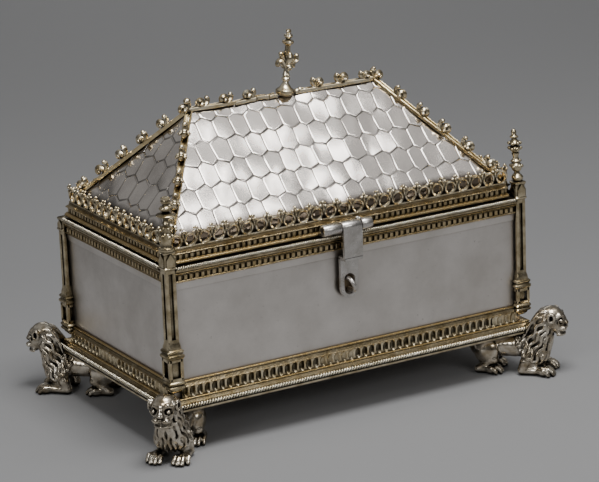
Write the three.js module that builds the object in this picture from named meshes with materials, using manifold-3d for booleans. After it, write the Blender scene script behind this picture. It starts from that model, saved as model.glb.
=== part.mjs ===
// A reliquary casket: a silver box on four lions, under a hipped lid with pierced cresting,
// crockets and a cross, shut by a hasp over a staple. Millimetres, +Z up, floor at z = 0.
// X runs along the long front, and the front faces -Y.

import * as THREE from "three";
import { mergeVertices } from "three/addons/utils/BufferGeometryUtils.js";
import Module from "manifold-3d";

const wasm = await Module();
wasm.setup();

// Driving dimensions
const HALF_X = 79.45; // box corner from the middle, along the front
const HALF_Y = 44.1; // box corner from the middle, along the side
const SEAM = 0.3; // gap between neighbouring pieces
const WALL = 1.2; // thickness of the box's sheet
const BASE_Z = 17.2; // underside of the box, resting on the lions
const BASE_TOP = 28.6;
const BASE_OUT = 4.65; // how far the base stands out from the panels
const RIM_Z = 64.4; // where the plain panel ends
const RIM_TOP = 74.1;
const LID_Z = 74.4; // lower edge of the lid's sheet, on the rim
const LID_X = -1.2; // the lid sits a little to the left
const LID_HALF_X = 78.0;
const EAVES_Z = 80.0;
const RIDGE_Z = 119.6;
const RIDGE_X = -2.1;
const RIDGE_HALF = 42.0;
const ROOF_IN = 2.4; // roof edge, in from the panel planes
const ROOF_WALL = 1.2;
const ROOF_DROP = 1.4; // how far the roof's inside lies below its outside, for each unit of wall
const FLANGE_TOP = 75.6; // top of the flange by which the lid rests on the box
const POST_BLOCK = 6.2; // width of the lower block of a corner post
const POST_SHAFT = 4.3;
const POST_HEAD = 5.2;
const POST_FOOT_Z = 24.4;
const FOOT_WIDTH = 7.2; // room that a post's foot takes in the base moulding
const PINNACLE_REACH = 3.2; // radius of the widest disc of a pinnacle
const CREST_PITCH_FRONT = 6.14;
const CREST_PITCH_SIDE = 5.9;
const CREST_Z = 80.1; // underside of the pierced cresting
const CREST_TOP = 87.6;
const CREST_THICK = 1.1;
const CREST_IN = 0.9; // front of the cresting, in from the panel plane
const RINGS_FRONT = 25;
const RINGS_SIDE = 14;
const RING_RADIUS = 1.95; // of the hole in a ring of the cresting
const RING_SIDES = 5;
const RING_RISE = 3.1; // middle of a ring above the cresting's underside
const RING_DIP = 5.7; // how high the edge stands over the middle of a ring
const HINGE_Y = -48.4; // axis of the hasp's hinge
const HINGE_Z = 77.2;
const BARREL = 4.5; // diameter of the hinge barrel
const HASP_X = -2.0;
const HASP_WIDTH = 8.6;
const LEFT_KNUCKLE = 8.0; // lengths of the barrels beside the strap
const RIGHT_KNUCKLE = 4.8;
const PIN_IN_LEFT = 5.0; // how far the pin reaches into each
const PIN_IN_RIGHT = 4.4;

const silver = () => new THREE.MeshStandardMaterial({ color: 0x8f8b84, roughness: 0.34, metalness: 1 });
const gilt = () => new THREE.MeshStandardMaterial({ color: 0x9a8458, roughness: 0.38, metalness: 1 });
const bright = () => new THREE.MeshStandardMaterial({ color: 0xa9a8a4, roughness: 0.24, metalness: 1 });
const iron = () => new THREE.MeshStandardMaterial({ color: 0x7d7c7a, roughness: 0.42, metalness: 1 });

const casket = new THREE.Group();

function add(name, geometry, material) {
  const mesh = new THREE.Mesh(geometry, material);
  mesh.name = name;
  casket.add(mesh);
}

// Joining and cutting
function solid(geometry) {
  const bare = geometry.clone();
  bare.deleteAttribute("normal");
  bare.deleteAttribute("uv");
  const merged = mergeVertices(bare, 1e-4);
  const vertProperties = new Float32Array(merged.attributes.position.array);
  const triVerts = new Uint32Array(merged.index.array);
  return new wasm.Manifold(new wasm.Mesh({ numProp: 3, vertProperties, triVerts }));
}

function geometryOf(body) {
  const mesh = body.getMesh();
  const geometry = new THREE.BufferGeometry();
  geometry.setAttribute("position", new THREE.BufferAttribute(mesh.vertProperties, 3));
  geometry.setIndex(new THREE.BufferAttribute(mesh.triVerts, 1));
  geometry.computeVertexNormals();
  return geometry;
}

function join(...geometries) {
  return geometryOf(geometries.map(solid).reduce((whole, piece) => whole.add(piece)));
}

function cut(geometry, ...tools) {
  return geometryOf(tools.map(solid).reduce((whole, tool) => whole.subtract(tool), solid(geometry)));
}

function common(a, b) {
  return geometryOf(solid(a).intersect(solid(b)));
}

// Simple bodies
function block(x0, x1, y0, y1, z0, z1) {
  const geometry = new THREE.BoxGeometry(x1 - x0, y1 - y0, z1 - z0);
  return geometry.translate((x0 + x1) / 2, (y0 + y1) / 2, (z0 + z1) / 2);
}

function squareBlock(x, y, width, z0, z1) {
  const h = width / 2;
  return block(x - h, x + h, y - h, y + h, z0, z1);
}

// A turned body on an upright axis: profile is a list of [radius, height].
function turned(profile, x, y, sides = 8) {
  const points = profile.map(([r, z]) => new THREE.Vector2(r, z));
  const geometry = new THREE.LatheGeometry(points, sides);
  return geometry.rotateX(Math.PI / 2).translate(x, y, 0);
}

// An outline of [x, z] points, made y0 to y1 deep.
function panel(outline, y0, y1, holes = []) {
  const points = (line) => line.map(([x, z]) => new THREE.Vector2(x, z));
  const shape = new THREE.Shape(points(outline));
  shape.holes = holes.map((hole) => new THREE.Path(points(hole)));
  const geometry = new THREE.ExtrudeGeometry(shape, { depth: y1 - y0, bevelEnabled: false });
  return geometry.rotateX(Math.PI / 2).translate(0, y1, 0);
}

// A moulding along X: its profile lists [how far out, height] from the panel plane at y = -plane.
// With a mitre of 1 each end runs out by as much as the profile does.
function moulding(profile, plane, left, right, mitre = 0) {
  const shape = new THREE.Shape(profile.map(([out, z]) => new THREE.Vector2(out, z)));
  const geometry = new THREE.ExtrudeGeometry(shape, { depth: 1, bevelEnabled: false });
  const place = geometry.attributes.position;
  for (let i = 0; i < place.count; i++) {
    const out = place.getX(i);
    const x = place.getZ(i) > 0.5 ? left - mitre * out : right + mitre * out;
    place.setXYZ(i, x, -plane - out, place.getY(i));
  }
  return geometry;
}

// The same piece on each side of the box, turned about the middle.
function turnTo(geometry, side) {
  const angle = { front: 0, right: Math.PI / 2, back: Math.PI, left: -Math.PI / 2 }[side];
  return geometry.rotateZ(angle);
}

const SIDES = ["front", "right", "back", "left"];
const isLong = (side) => side === "front" || side === "back";
const CORNERS = [
  { name: "front_left", sx: -1, sy: -1 },
  { name: "front_right", sx: 1, sy: -1 },
  { name: "back_right", sx: 1, sy: 1 },
  { name: "back_left", sx: -1, sy: 1 },
];

// Square bodies on the four corners, to cut pieces back from what stands there.
function cornerSquares(width, z0, z1) {
  return CORNERS.map(({ sx, sy }) => squareBlock(sx * HALF_X, sy * HALF_Y, width, z0, z1));
}

// Box
function boxBody() {
  const outside = block(-HALF_X, HALF_X, -HALF_Y, HALF_Y, BASE_Z, RIM_TOP);
  const x = HALF_X - WALL;
  const y = HALF_Y - WALL;
  return cut(outside, block(-x, x, -y, y, BASE_Z + WALL, RIM_TOP + 1));
}

// The base: a flat edge, a sloping face, a fluted band and a sloping top.
const BASE_PROFILE = [
  [SEAM, BASE_Z],
  [BASE_OUT, BASE_Z],
  [BASE_OUT, 18.8],
  [4.4, 19.8],
  [2.9, 21.4],
  [2.5, 22.0],
  [0.5, 22.0],
  [0.5, 26.1],
  [2.0, 26.1],
  [1.2, 27.8],
  [SEAM, BASE_TOP],
];
const FLUTE_PITCH = 3.2;
const FLUTE_OUT = [0.6, 1.9]; // of the grooves and of the ribs
const FLUTE_Z = [22.0, 26.1];
const FLUTE_BACK = 0.4;
const FLUTE_MARGIN = 1.0; // plain stretch between the fluted band and a corner post
const FLUTED = ["front", "left"]; // the back and right sides are plainer

function flutedBand(half, plane) {
  const count = Math.floor((2 * half) / FLUTE_PITCH);
  const end = (count * FLUTE_PITCH) / 2;
  const outline = [
    [end, -plane - FLUTE_BACK],
    [-end, -plane - FLUTE_BACK],
  ];
  for (let i = 0; i <= 2 * count; i++) {
    outline.push([-end + (i * FLUTE_PITCH) / 2, -plane - FLUTE_OUT[i % 2]]);
  }
  const shape = new THREE.Shape(outline.map(([x, y]) => new THREE.Vector2(x, y)));
  const depth = FLUTE_Z[1] - FLUTE_Z[0];
  const band = new THREE.ExtrudeGeometry(shape, { depth, bevelEnabled: false });
  return band.translate(0, 0, FLUTE_Z[0]);
}

function baseMoulding(side) {
  const half = isLong(side) ? HALF_X : HALF_Y;
  const plane = isLong(side) ? HALF_Y : HALF_X;
  const strip = moulding(BASE_PROFILE, plane, -half + SEAM / 2, half - SEAM / 2, 1);
  const band = flutedBand(half - POST_BLOCK / 2 - FLUTE_MARGIN, plane);
  const whole = FLUTED.includes(side) ? join(strip, band) : strip;
  const room = FOOT_WIDTH + 2 * SEAM;
  const [low, high] = [POST_FOOT_Z - SEAM, BASE_TOP + 1];
  const ends = [-half, half].map((x) => squareBlock(x, -plane, room, low, high));
  return turnTo(cut(whole, ...ends), side);
}

// The rim: a plain slope, a fillet, a dentil band and a roll under the wire edge.
const RIM_PROFILE = [
  [SEAM, RIM_Z],
  [1.0, 67.2],
  [1.5, 67.5],
  [1.5, 70.2],
  [1.0, 70.4],
  [2.1, 71.0],
  [2.3, 72.6],
  [2.7, 73.4],
  [2.3, RIM_TOP],
  [SEAM, RIM_TOP],
];

// The lid's edge: a fillet, a sloping face, a dentil band and the ledge under the cresting.
const LID_PROFILE = [
  [SEAM, 74.8],
  [1.7, 74.8],
  [1.7, 75.8],
  [0.6, 76.3],
  [0.6, 78.2],
  [0.9, 78.3],
  [0.8, 78.9],
  [-0.3, 79.8],
  [-1.8, 79.8],
  [-1.8, FLANGE_TOP + SEAM],
  [SEAM, FLANGE_TOP + SEAM],
];

function rimMoulding(side) {
  const half = (isLong(side) ? HALF_X : HALF_Y) - POST_HEAD / 2 - SEAM;
  const plane = isLong(side) ? HALF_Y : HALF_X;
  return turnTo(moulding(RIM_PROFILE, plane, -half, half), side);
}

function lidMoulding(side) {
  const end = POST_HEAD / 2 + SEAM;
  const plane = isLong(side) ? HALF_Y : LID_HALF_X;
  const half = isLong(side) ? LID_HALF_X - end : HALF_Y - end;
  return turnTo(moulding(LID_PROFILE, plane, -half, half), side).translate(LID_X, 0, 0);
}

// The lid's sheet: a hipped roof over a short upright skirt, open below.
function hippedRoof(inset, bottom) {
  const top = RIDGE_Z - inset * ROOF_DROP;
  const eaves = EAVES_Z - inset * (ROOF_DROP - 1);
  const y = HALF_Y - ROOF_IN - inset;
  const x = LID_HALF_X - ROOF_IN - inset;
  const gable = [
    [-y, bottom],
    [y, bottom],
    [y, eaves],
    [0, top],
    [-y, eaves],
  ];
  const length = [
    [LID_X - x, bottom],
    [LID_X + x, bottom],
    [LID_X + x, eaves],
    [RIDGE_X + RIDGE_HALF - inset, top],
    [RIDGE_X - RIDGE_HALF + inset, top],
    [LID_X - x, eaves],
  ];
  const along = panel(gable, -2 * HALF_X, 2 * HALF_X).rotateZ(Math.PI / 2);
  return common(along, panel(length, -2 * HALF_Y, 2 * HALF_Y));
}

// A flange round the foot of the skirt rests on the top of the box's walls.
function lidRoof() {
  const x = LID_HALF_X - SEAM;
  const y = HALF_Y - SEAM;
  const flange = block(LID_X - x, LID_X + x, -y, y, LID_Z, FLANGE_TOP);
  const inside = hippedRoof(ROOF_WALL, LID_Z - 1);
  const posts = cornerSquares(POST_HEAD + 2 * SEAM, LID_Z - 1, FLANGE_TOP + 1);
  return cut(join(hippedRoof(0, LID_Z), flange), inside, ...posts);
}

// Pierced cresting: a row of rings on a rail, with a small flower above each place where two meet.
function cresting(side) {
  const pitch = isLong(side) ? CREST_PITCH_FRONT : CREST_PITCH_SIDE;
  const count = isLong(side) ? RINGS_FRONT : RINGS_SIDE;
  const plane = (isLong(side) ? HALF_Y : LID_HALF_X) - CREST_IN;
  const half = (pitch * count) / 2;
  const middle = CREST_Z + RING_RISE;
  const outline = [
    [-half, CREST_Z],
    [half, CREST_Z],
  ];
  const holes = [];
  for (let i = count; i >= 0; i--) {
    const x = -half + i * pitch;
    outline.push([x, CREST_TOP]);
    if (i > 0) outline.push([x - pitch / 2, CREST_Z + RING_DIP]);
  }
  for (let i = 0; i < count; i++) {
    const x = -half + (i + 0.5) * pitch;
    const hole = [];
    for (let k = 0; k < RING_SIDES; k++) {
      const angle = Math.PI / 2 - (2 * k * Math.PI) / RING_SIDES;
      hole.push([x + RING_RADIUS * Math.cos(angle), middle + RING_RADIUS * Math.sin(angle)]);
    }
    holes.push(hole);
  }
  const plate = turnTo(panel(outline, -plane, -plane + CREST_THICK, holes), side);
  const posts = cornerSquares(2 * (PINNACLE_REACH + SEAM), CREST_Z - 1, CREST_TOP + 1);
  return cut(plate.translate(LID_X, 0, 0), ...posts);
}

// Crockets: a hooked leaf rising from the strip it grows on; x runs along the strip.
const CROCKET_SIZE = 4.0;
const CROCKET_WIDTH = 2.2;

function crocket(x, z) {
  const outline = [
    [-0.4, -0.2],
    [0.35, -0.2],
    [0.2, 0.35],
    [0.65, 0.65],
    [0.3, 1.05],
    [-0.6, 0.8],
    [-0.35, 0.3],
  ].map(([a, b]) => [x + a * CROCKET_SIZE, z + b * CROCKET_SIZE]);
  return panel(outline, -CROCKET_WIDTH / 2, CROCKET_WIDTH / 2);
}

const STRIP_WIDTH = 2.6;
const STRIP_TOP = 1.8; // how far the strip's top stands above the roof's edge
const STRIP_START = 1.2; // from the ridge's end to the strip's
const STRIP_END = 3.0; // from the roof's corner to the strip's end
const HIP_CROCKETS = 5;
const HIP_CROCKET_PITCH = 11.5;

function ridgeEnd(sx) {
  return new THREE.Vector3(RIDGE_X + sx * RIDGE_HALF, 0, RIDGE_Z);
}

function eavesCorner(sx, sy) {
  const x = LID_X + sx * (LID_HALF_X - ROOF_IN);
  return new THREE.Vector3(x, sy * (HALF_Y - ROOF_IN), EAVES_Z);
}

// A strip with its crockets, made along X and then laid on the line from the ridge to a corner.
function hipCrest(sx, sy) {
  const top = ridgeEnd(sx);
  const foot = eavesCorner(sx, sy);
  const run = foot.clone().sub(top);
  const end = run.length() - STRIP_END;
  const half = STRIP_WIDTH / 2;
  const pieces = [block(STRIP_START, end, -half, half, SEAM, STRIP_TOP)];
  for (let i = 1; i <= HIP_CROCKETS; i++) pieces.push(crocket(i * HIP_CROCKET_PITCH, STRIP_TOP));
  const crest = join(...pieces);
  const along = run.clone().normalize();
  const across = new THREE.Vector3(0, 0, 1).cross(along).normalize();
  const up = along.clone().cross(across);
  crest.applyMatrix4(new THREE.Matrix4().makeBasis(along, across, up).setPosition(top));
  return crest;
}

// Two lengths of ridge strip, one each side of the cross, with their crockets.
const RIDGE_STRIP_GAP = 4.6;
const RIDGE_CROCKETS = [14.9, 25.6, 36.5]; // from the middle of the ridge
const CROSS_X = -1.0;

function ridgeCrest(sx) {
  const inner = CROSS_X + sx * RIDGE_STRIP_GAP;
  const outer = RIDGE_X + sx * (RIDGE_HALF - 0.5);
  const half = STRIP_WIDTH / 2;
  const [low, high] = [RIDGE_Z + SEAM, RIDGE_Z + STRIP_TOP];
  const strip = block(Math.min(inner, outer), Math.max(inner, outer), -half, half, low, high);
  const leaves = RIDGE_CROCKETS.map((x) => crocket(RIDGE_X + sx * x, high));
  return join(strip, ...leaves);
}

// The cross: a bell foot, two knobs, a stem with leaf arms, and three knobs above. It leans.
const CROSS_LEAN = 0.115; // radians
const CROSS_FOOT = RIDGE_Z + 0.8; // so that its leaning foot stays clear of the ridge
const ARM_THICK = 2.2;

function ridgeCross() {
  const stem = turned(
    [
      [0, 0],
      [3.9, 0],
      [3.7, 1.6],
      [1.7, 3.6],
      [1.0, 5.2],
      [1.7, 6.2],
      [1.7, 7.4],
      [0.9, 8.3],
      [0.9, 19.6],
      [2.3, 20.6],
      [2.3, 21.2],
      [0.9, 22.2],
      [1.6, 23.6],
      [1.3, 25.6],
      [0, 26.4],
    ],
    0,
    0,
    6,
  );
  const arms = panel(
    [
      [-4.9, 13.2],
      [-3.4, 12.4],
      [-1.0, 14.0],
      [1.0, 14.0],
      [3.4, 12.4],
      [4.9, 13.2],
      [4.6, 16.0],
      [2.6, 15.6],
      [1.6, 17.8],
      [-1.6, 17.8],
      [-2.6, 15.6],
      [-4.6, 16.0],
    ],
    -ARM_THICK / 2,
    ARM_THICK / 2,
  );
  return join(stem, arms).rotateY(CROSS_LEAN).translate(CROSS_X, 0, CROSS_FOOT);
}

// A square body stacked from [half width, height] rows.
function squareStack(rows, x, y) {
  const points = rows.map(([half, z]) => new THREE.Vector2(half * Math.SQRT2, z));
  const geometry = new THREE.LatheGeometry(points, 4, Math.PI / 4);
  return geometry.rotateX(Math.PI / 2).translate(x, y, 0);
}

// Corner posts: a foot, a block with niches, two rings, a grooved shaft, a head and a pinnacle.
const PINNACLES = {
  complete: [
    [2.0, 83.2],
    [1.2, 84.6],
    [2.3, 86.4],
    [2.2, 89.0],
    [1.0, 90.8],
    [1.0, 92.6],
    [2.6, 94.2],
    [2.2, 96.2],
    [0.8, 98.0],
    [1.4, 99.4],
    [0, 102.0],
  ],
  tip_lost: [
    [1.5, 82.4],
    [2.5, 84.6],
    [2.5, 88.6],
    [1.1, 90.6],
    [1.1, 92.6],
    [3.2, 93.6],
    [3.0, 94.8],
    [1.2, 95.6],
    [2.0, 97.4],
    [2.0, 99.8],
    [0, 101.6],
  ],
};

// The maker set the rings and heads of the four posts at slightly different heights.
// The front left pinnacle has lost its tip, and the back left one is broken off at the head.
const POSTS = {
  front_left: { ringZ: 40.6, headZ: 73.6, top: 80.6, pinnacle: "tip_lost" },
  front_right: { ringZ: 38.2, headZ: 73.4, top: 80.4, pinnacle: "complete" },
  back_right: { ringZ: 39.4, headZ: 73.4, top: 80.4, pinnacle: "complete" },
  back_left: { ringZ: 39.9, headZ: 68.4, top: 73.6, pinnacle: null },
};

const NICHE = { width: 3.2, floor: 2.3, low: 30.8, underRing: 3.4 };
const GROOVE = { width: 1.2, floor: 1.65, overRing: 4.5, underHead: 2.0 };

// A niche or groove of the width and height given, in both faces that look away from the box:
// its floor lies that far from the middle of the post.
function niches(sx, sy, { width, floor }, z0, z1) {
  const reach = floor + width / 2;
  const [x, y] = [sx * HALF_X, sy * HALF_Y];
  return [squareBlock(x + sx * reach, y, width, z0, z1), squareBlock(x, y + sy * reach, width, z0, z1)];
}

function postRows({ ringZ, headZ, top }) {
  const blockHalf = POST_BLOCK / 2;
  const shaftHalf = POST_SHAFT / 2;
  const headHalf = POST_HEAD / 2;
  return [
    [0, POST_FOOT_Z],
    [1.6, POST_FOOT_Z],
    [3.3, 26.6],
    [3.4, 29.2],
    [blockHalf, 29.8],
    [blockHalf, ringZ - 2.4],
    [blockHalf + 0.6, ringZ - 1.3],
    [blockHalf - 0.1, ringZ - 0.3],
    [blockHalf + 0.4, ringZ + 0.7],
    [shaftHalf + 0.5, ringZ + 1.7],
    [shaftHalf, ringZ + 4.0],
    [shaftHalf, headZ],
    [headHalf, headZ + 0.7],
    [headHalf, top],
    [0, top],
  ];
}

function post(sx, sy, name) {
  const { ringZ, headZ, top, pinnacle } = POSTS[name];
  const [x, y] = [sx * HALF_X, sy * HALF_Y];
  let body = squareStack(postRows(POSTS[name]), x, y);
  if (pinnacle) {
    const profile = [[0, top - 0.5], [1.5, top - 0.5], ...PINNACLES[pinnacle]];
    body = join(body, turned(profile, x, y, 6));
  }
  const grooves = [
    ...niches(sx, sy, NICHE, NICHE.low, ringZ - NICHE.underRing),
    ...niches(sx, sy, GROOVE, ringZ + GROOVE.overRing, headZ - GROOVE.underHead),
  ];
  const [cornerX, cornerY] = [HALF_X + SEAM, HALF_Y + SEAM];
  const corner = block(-cornerX, cornerX, -cornerY, cornerY, BASE_Z, RIM_TOP + SEAM);
  return cut(body, ...grooves, corner);
}

// Lions. Each is made facing +X with the box corner above x = 0, then turned to its corner.
// A limb or trunk: a tube swept through [x, y, z, half width, half height] stations. With a
// ridge, every second corner is drawn in, which leaves locks of mane between.
function swept(stations, sides, ridge = 0) {
  const rings = stations.length - 1;
  const geometry = new THREE.CylinderGeometry(1, 1, 1, sides, rings, false);
  const place = geometry.attributes.position;
  const at = (i, k) => stations[Math.max(0, Math.min(rings, i))][k];
  for (let i = 0; i < place.count; i++) {
    const row = Math.round((0.5 - place.getY(i)) * rings);
    const radius = Math.hypot(place.getX(i), place.getZ(i));
    const angle = Math.atan2(place.getZ(i), place.getX(i));
    const spoke = Math.round((angle / (2 * Math.PI)) * sides);
    const size = radius * (spoke % 2 ? 1 - ridge : 1);
    const dx = at(row + 1, 0) - at(row - 1, 0);
    const dz = at(row + 1, 2) - at(row - 1, 2);
    const far = Math.hypot(dx, dz) || 1;
    const y = at(row, 1) + Math.cos(angle) * size * at(row, 3);
    const lift = Math.sin(angle) * size * at(row, 4);
    place.setXYZ(i, at(row, 0) - (dz / far) * lift, y, at(row, 2) + (dx / far) * lift);
  }
  return geometry;
}

// The legs and ear of one side; each front leg bends at the elbow and lies along the floor.
function lionLimbs(side) {
  const y = side * 5.1;
  const foreleg = [
    [7.6, y * 0.8, 13.5, 2.2, 3.0],
    [4.2, y, 8.4, 2.3, 2.8],
    [1.4, y, 4.2, 2.0, 2.3],
    [0.9, y, 1.6, 2.0, 2.2],
    [6.0, y, 1.6, 2.1, 2.0],
    [11.4, y, 1.7, 3.1, 2.1],
    [14.6, y, 1.1, 2.2, 1.3],
  ];
  const hindLeg = [
    [-15.6, y * 0.8, 14.2, 1.8, 3.0],
    [-15.8, y * 0.95, 10.2, 2.9, 4.9],
    [-14.4, y, 6.4, 2.6, 3.4],
    [-18.0, y * 1.04, 1.9, 1.8, 2.0],
    [-13.6, y * 1.04, 1.5, 1.9, 1.7],
    [-7.8, y * 1.04, 1.3, 2.6, 1.7],
  ];
  const ear = [
    [11.6, side * 4.2, 24.0, 0.6, 0.8],
    [10.8, side * 4.7, 24.2, 1.3, 2.0],
    [10.0, side * 4.9, 24.2, 0.5, 0.7],
  ];
  return [swept(foreleg, 5), swept(hindLeg, 5), swept(ear, 4)];
}

function lion(sx, sy) {
  const trunk = [
    [-22.4, 0, 10.0, 2.4, 3.0],
    [-19.0, 0, 11.2, 4.5, 5.2],
    [-8.0, 0, 11.2, 4.6, 5.2],
    [4.0, 0, 12.0, 5.2, 5.6],
  ];
  const mane = [
    [9.6, 0, 26.6, 3.0, 2.8],
    [9.0, 0, 22.5, 5.3, 5.4],
    [8.0, 0, 14.0, 6.2, 5.8],
    [7.4, 0, 7.0, 4.9, 4.6],
    [7.8, 0, 4.0, 2.4, 2.6],
  ];
  const head = [
    [9.4, 0, 22.8, 3.8, 4.4],
    [12.6, 0, 23.2, 4.8, 5.4],
    [16.0, 0, 21.6, 4.2, 5.0],
    [18.2, 0, 19.6, 3.3, 3.8],
    [19.8, 0, 18.8, 2.0, 2.2],
  ];
  const bodies = [swept(trunk, 8), swept(mane, 10, 0.14), swept(head, 8)];
  const body = join(...bodies, ...lionLimbs(1), ...lionLimbs(-1));
  body.rotateZ(Math.atan2(sy, sx)).translate(sx * HALF_X, sy * HALF_Y, 0);
  const x = HALF_X + BASE_OUT + SEAM;
  const y = HALF_Y + BASE_OUT + SEAM;
  const seat = block(-x, x, -y, y, BASE_Z - SEAM, RIM_Z);
  const floor = block(-2 * x, 2 * x, -2 * y, 2 * y, -BASE_Z, 0);
  return cut(body, seat, floor);
}

// Hasp: a strap hung from the hinge, stepping in to a plate with a slot over the staple.
const STRAP_THICK = 1.2;
const STRAP_Z = 64.8; // lower end of the strap
const STEP_THICK = 1.5; // of the shelf between the strap and the plate
const PLATE_IN = 0.2; // how much narrower the plate is than the strap, each side
const PLATE_Y = -45.6; // back face of the plate
const PLATE_END = 47.8;
const SLOT_HALF = 2.3;
const SLOT_Z = [49.3, 57.7];
const PIN_RADIUS = 0.9;
const ARC_STEPS = 6; // in each half round
const LEAF_DROP = [2.2, 0.9]; // faces of a knuckle's leaf, below the hinge's axis
const LEAF_LAP = 0.8; // how far the leaf runs in under the barrel

function barrel(x0, x1) {
  const outer = new THREE.CylinderGeometry(BARREL / 2, BARREL / 2, x1 - x0, 10);
  const bore = new THREE.CylinderGeometry(PIN_RADIUS + SEAM, PIN_RADIUS + SEAM, x1 - x0 + 2, 8);
  const place = (tube) => tube.rotateZ(Math.PI / 2).translate((x0 + x1) / 2, HINGE_Y, HINGE_Z);
  return [place(outer), place(bore)];
}

// An outline round below from z0, and round or square above at z1.
function roundEnded(half, z0, z1, roundTop) {
  const arc = (middle, start) => {
    const angles = Array.from({ length: ARC_STEPS + 1 }, (_, k) => start + (k * Math.PI) / ARC_STEPS);
    return angles.map((angle) => [HASP_X + half * Math.cos(angle), middle + half * Math.sin(angle)]);
  };
  const square = [
    [HASP_X + half, z1],
    [HASP_X - half, z1],
  ];
  return [...arc(z0 + half, Math.PI), ...(roundTop ? arc(z1 - half, 0) : square)];
}

function hasp() {
  const half = HASP_WIDTH / 2;
  const [tube, bore] = barrel(HASP_X - half, HASP_X + half);
  const front = HINGE_Y - BARREL / 2;
  const [left, right] = [HASP_X - half, HASP_X + half];
  const strap = block(left, right, front, front + STRAP_THICK, STRAP_Z, HINGE_Z);
  const stepZ = STRAP_Z - 0.9;
  const step = block(left + PLATE_IN, right - PLATE_IN, front, PLATE_Y, stepZ, stepZ + STEP_THICK);
  const slot = roundEnded(SLOT_HALF, SLOT_Z[0], SLOT_Z[1], true).reverse();
  const outline = roundEnded(half - PLATE_IN, PLATE_END, STRAP_Z, false);
  const plate = panel(outline, PLATE_Y - STRAP_THICK, PLATE_Y, [slot]);
  return cut(join(tube, strap, step, plate), bore);
}

function haspKnuckle(x0, x1) {
  const [tube, bore] = barrel(x0, x1);
  const back = -HALF_Y - LID_PROFILE[1][0] - SEAM;
  const [low, high] = LEAF_DROP.map((drop) => HINGE_Z - drop);
  const leaf = block(x0, x1, HINGE_Y + LEAF_LAP, back, low, high);
  return cut(join(tube, leaf), bore);
}

// The staple: a bent wire standing out of the front panel, through the slot of the hasp.
const WIRE = 0.75; // radius
const STAPLE_FEET = [
  [HASP_X - 1.1, 55.6],
  [HASP_X + 1.1, 51.2],
];

const STAPLE_REACH = 6.6; // from the panel to the middle of the wire
const STAPLE_BEND = 2.2; // from there back to where the legs run straight

function staple() {
  const [[x0, z0], [x1, z1]] = STAPLE_FEET;
  const foot = -HALF_Y - SEAM;
  const nose = -HALF_Y - STAPLE_REACH;
  const bend = nose + STAPLE_BEND;
  const path = new THREE.CatmullRomCurve3([
    new THREE.Vector3(x0, foot, z0),
    new THREE.Vector3(x0, bend, z0),
    new THREE.Vector3((x0 + x1) / 2, nose, (z0 + z1) / 2),
    new THREE.Vector3(x1, bend, z1),
    new THREE.Vector3(x1, foot, z1),
  ]);
  const section = new THREE.Shape();
  section.absarc(0, 0, WIRE, 0, 2 * Math.PI);
  const along = { steps: 9, curveSegments: 3, bevelEnabled: false, extrudePath: path };
  return new THREE.ExtrudeGeometry(section, along);
}

function hingePin(x0, x1) {
  const pin = new THREE.CylinderGeometry(PIN_RADIUS, PIN_RADIUS, x1 - x0, 8);
  return pin.rotateZ(Math.PI / 2).translate((x0 + x1) / 2, HINGE_Y, HINGE_Z);
}

add("box_body", boxBody(), silver());
add("lid_roof", lidRoof(), bright());
for (const side of SIDES) {
  add(`base_moulding_${side}`, baseMoulding(side), gilt());
  add(`rim_moulding_${side}`, rimMoulding(side), gilt());
  add(`lid_moulding_${side}`, lidMoulding(side), gilt());
  add(`cresting_${side}`, cresting(side), gilt());
}
for (const { name, sx, sy } of CORNERS) {
  add(`post_${name}`, post(sx, sy, name), silver());
  add(`lion_${name}`, lion(sx, sy), silver());
  add(`hip_crest_${name}`, hipCrest(sx, sy), gilt());
}
add("ridge_crest_left", ridgeCrest(-1), gilt());
add("ridge_crest_right", ridgeCrest(1), gilt());
add("ridge_cross", ridgeCross(), gilt());
const strapLeft = HASP_X - HASP_WIDTH / 2 - SEAM;
const strapRight = HASP_X + HASP_WIDTH / 2 + SEAM;
add("hasp", hasp(), iron());
add("hasp_knuckle_left", haspKnuckle(strapLeft - LEFT_KNUCKLE, strapLeft), iron());
add("hasp_knuckle_right", haspKnuckle(strapRight, strapRight + RIGHT_KNUCKLE), iron());
add("hinge_pin", hingePin(strapLeft - PIN_IN_LEFT, strapRight + PIN_IN_RIGHT), iron());
add("staple", staple(), iron());

export default casket;
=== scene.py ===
import math

import bmesh
import bpy
import numpy as np
from mathutils import Matrix, Vector


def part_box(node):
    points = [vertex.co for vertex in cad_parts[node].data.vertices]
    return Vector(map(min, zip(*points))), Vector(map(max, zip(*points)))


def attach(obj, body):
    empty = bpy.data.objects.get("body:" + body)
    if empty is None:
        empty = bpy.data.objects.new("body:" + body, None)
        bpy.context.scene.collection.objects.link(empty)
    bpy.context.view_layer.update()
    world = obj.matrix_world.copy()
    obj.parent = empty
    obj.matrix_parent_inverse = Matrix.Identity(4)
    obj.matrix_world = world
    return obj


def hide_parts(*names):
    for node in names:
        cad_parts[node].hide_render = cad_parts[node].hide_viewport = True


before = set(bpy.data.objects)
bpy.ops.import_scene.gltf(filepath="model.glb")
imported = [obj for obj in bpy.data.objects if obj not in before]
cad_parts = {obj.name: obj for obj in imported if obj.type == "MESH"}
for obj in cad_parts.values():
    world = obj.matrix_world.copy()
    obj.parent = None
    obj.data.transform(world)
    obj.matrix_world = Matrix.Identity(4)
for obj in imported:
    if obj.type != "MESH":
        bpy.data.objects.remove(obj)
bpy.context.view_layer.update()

# Driving sizes, in millimetres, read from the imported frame
MM = 0.001


def corners_mm(node):
    low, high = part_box(node)
    return np.array(low) / MM, np.array(high) / MM


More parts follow.
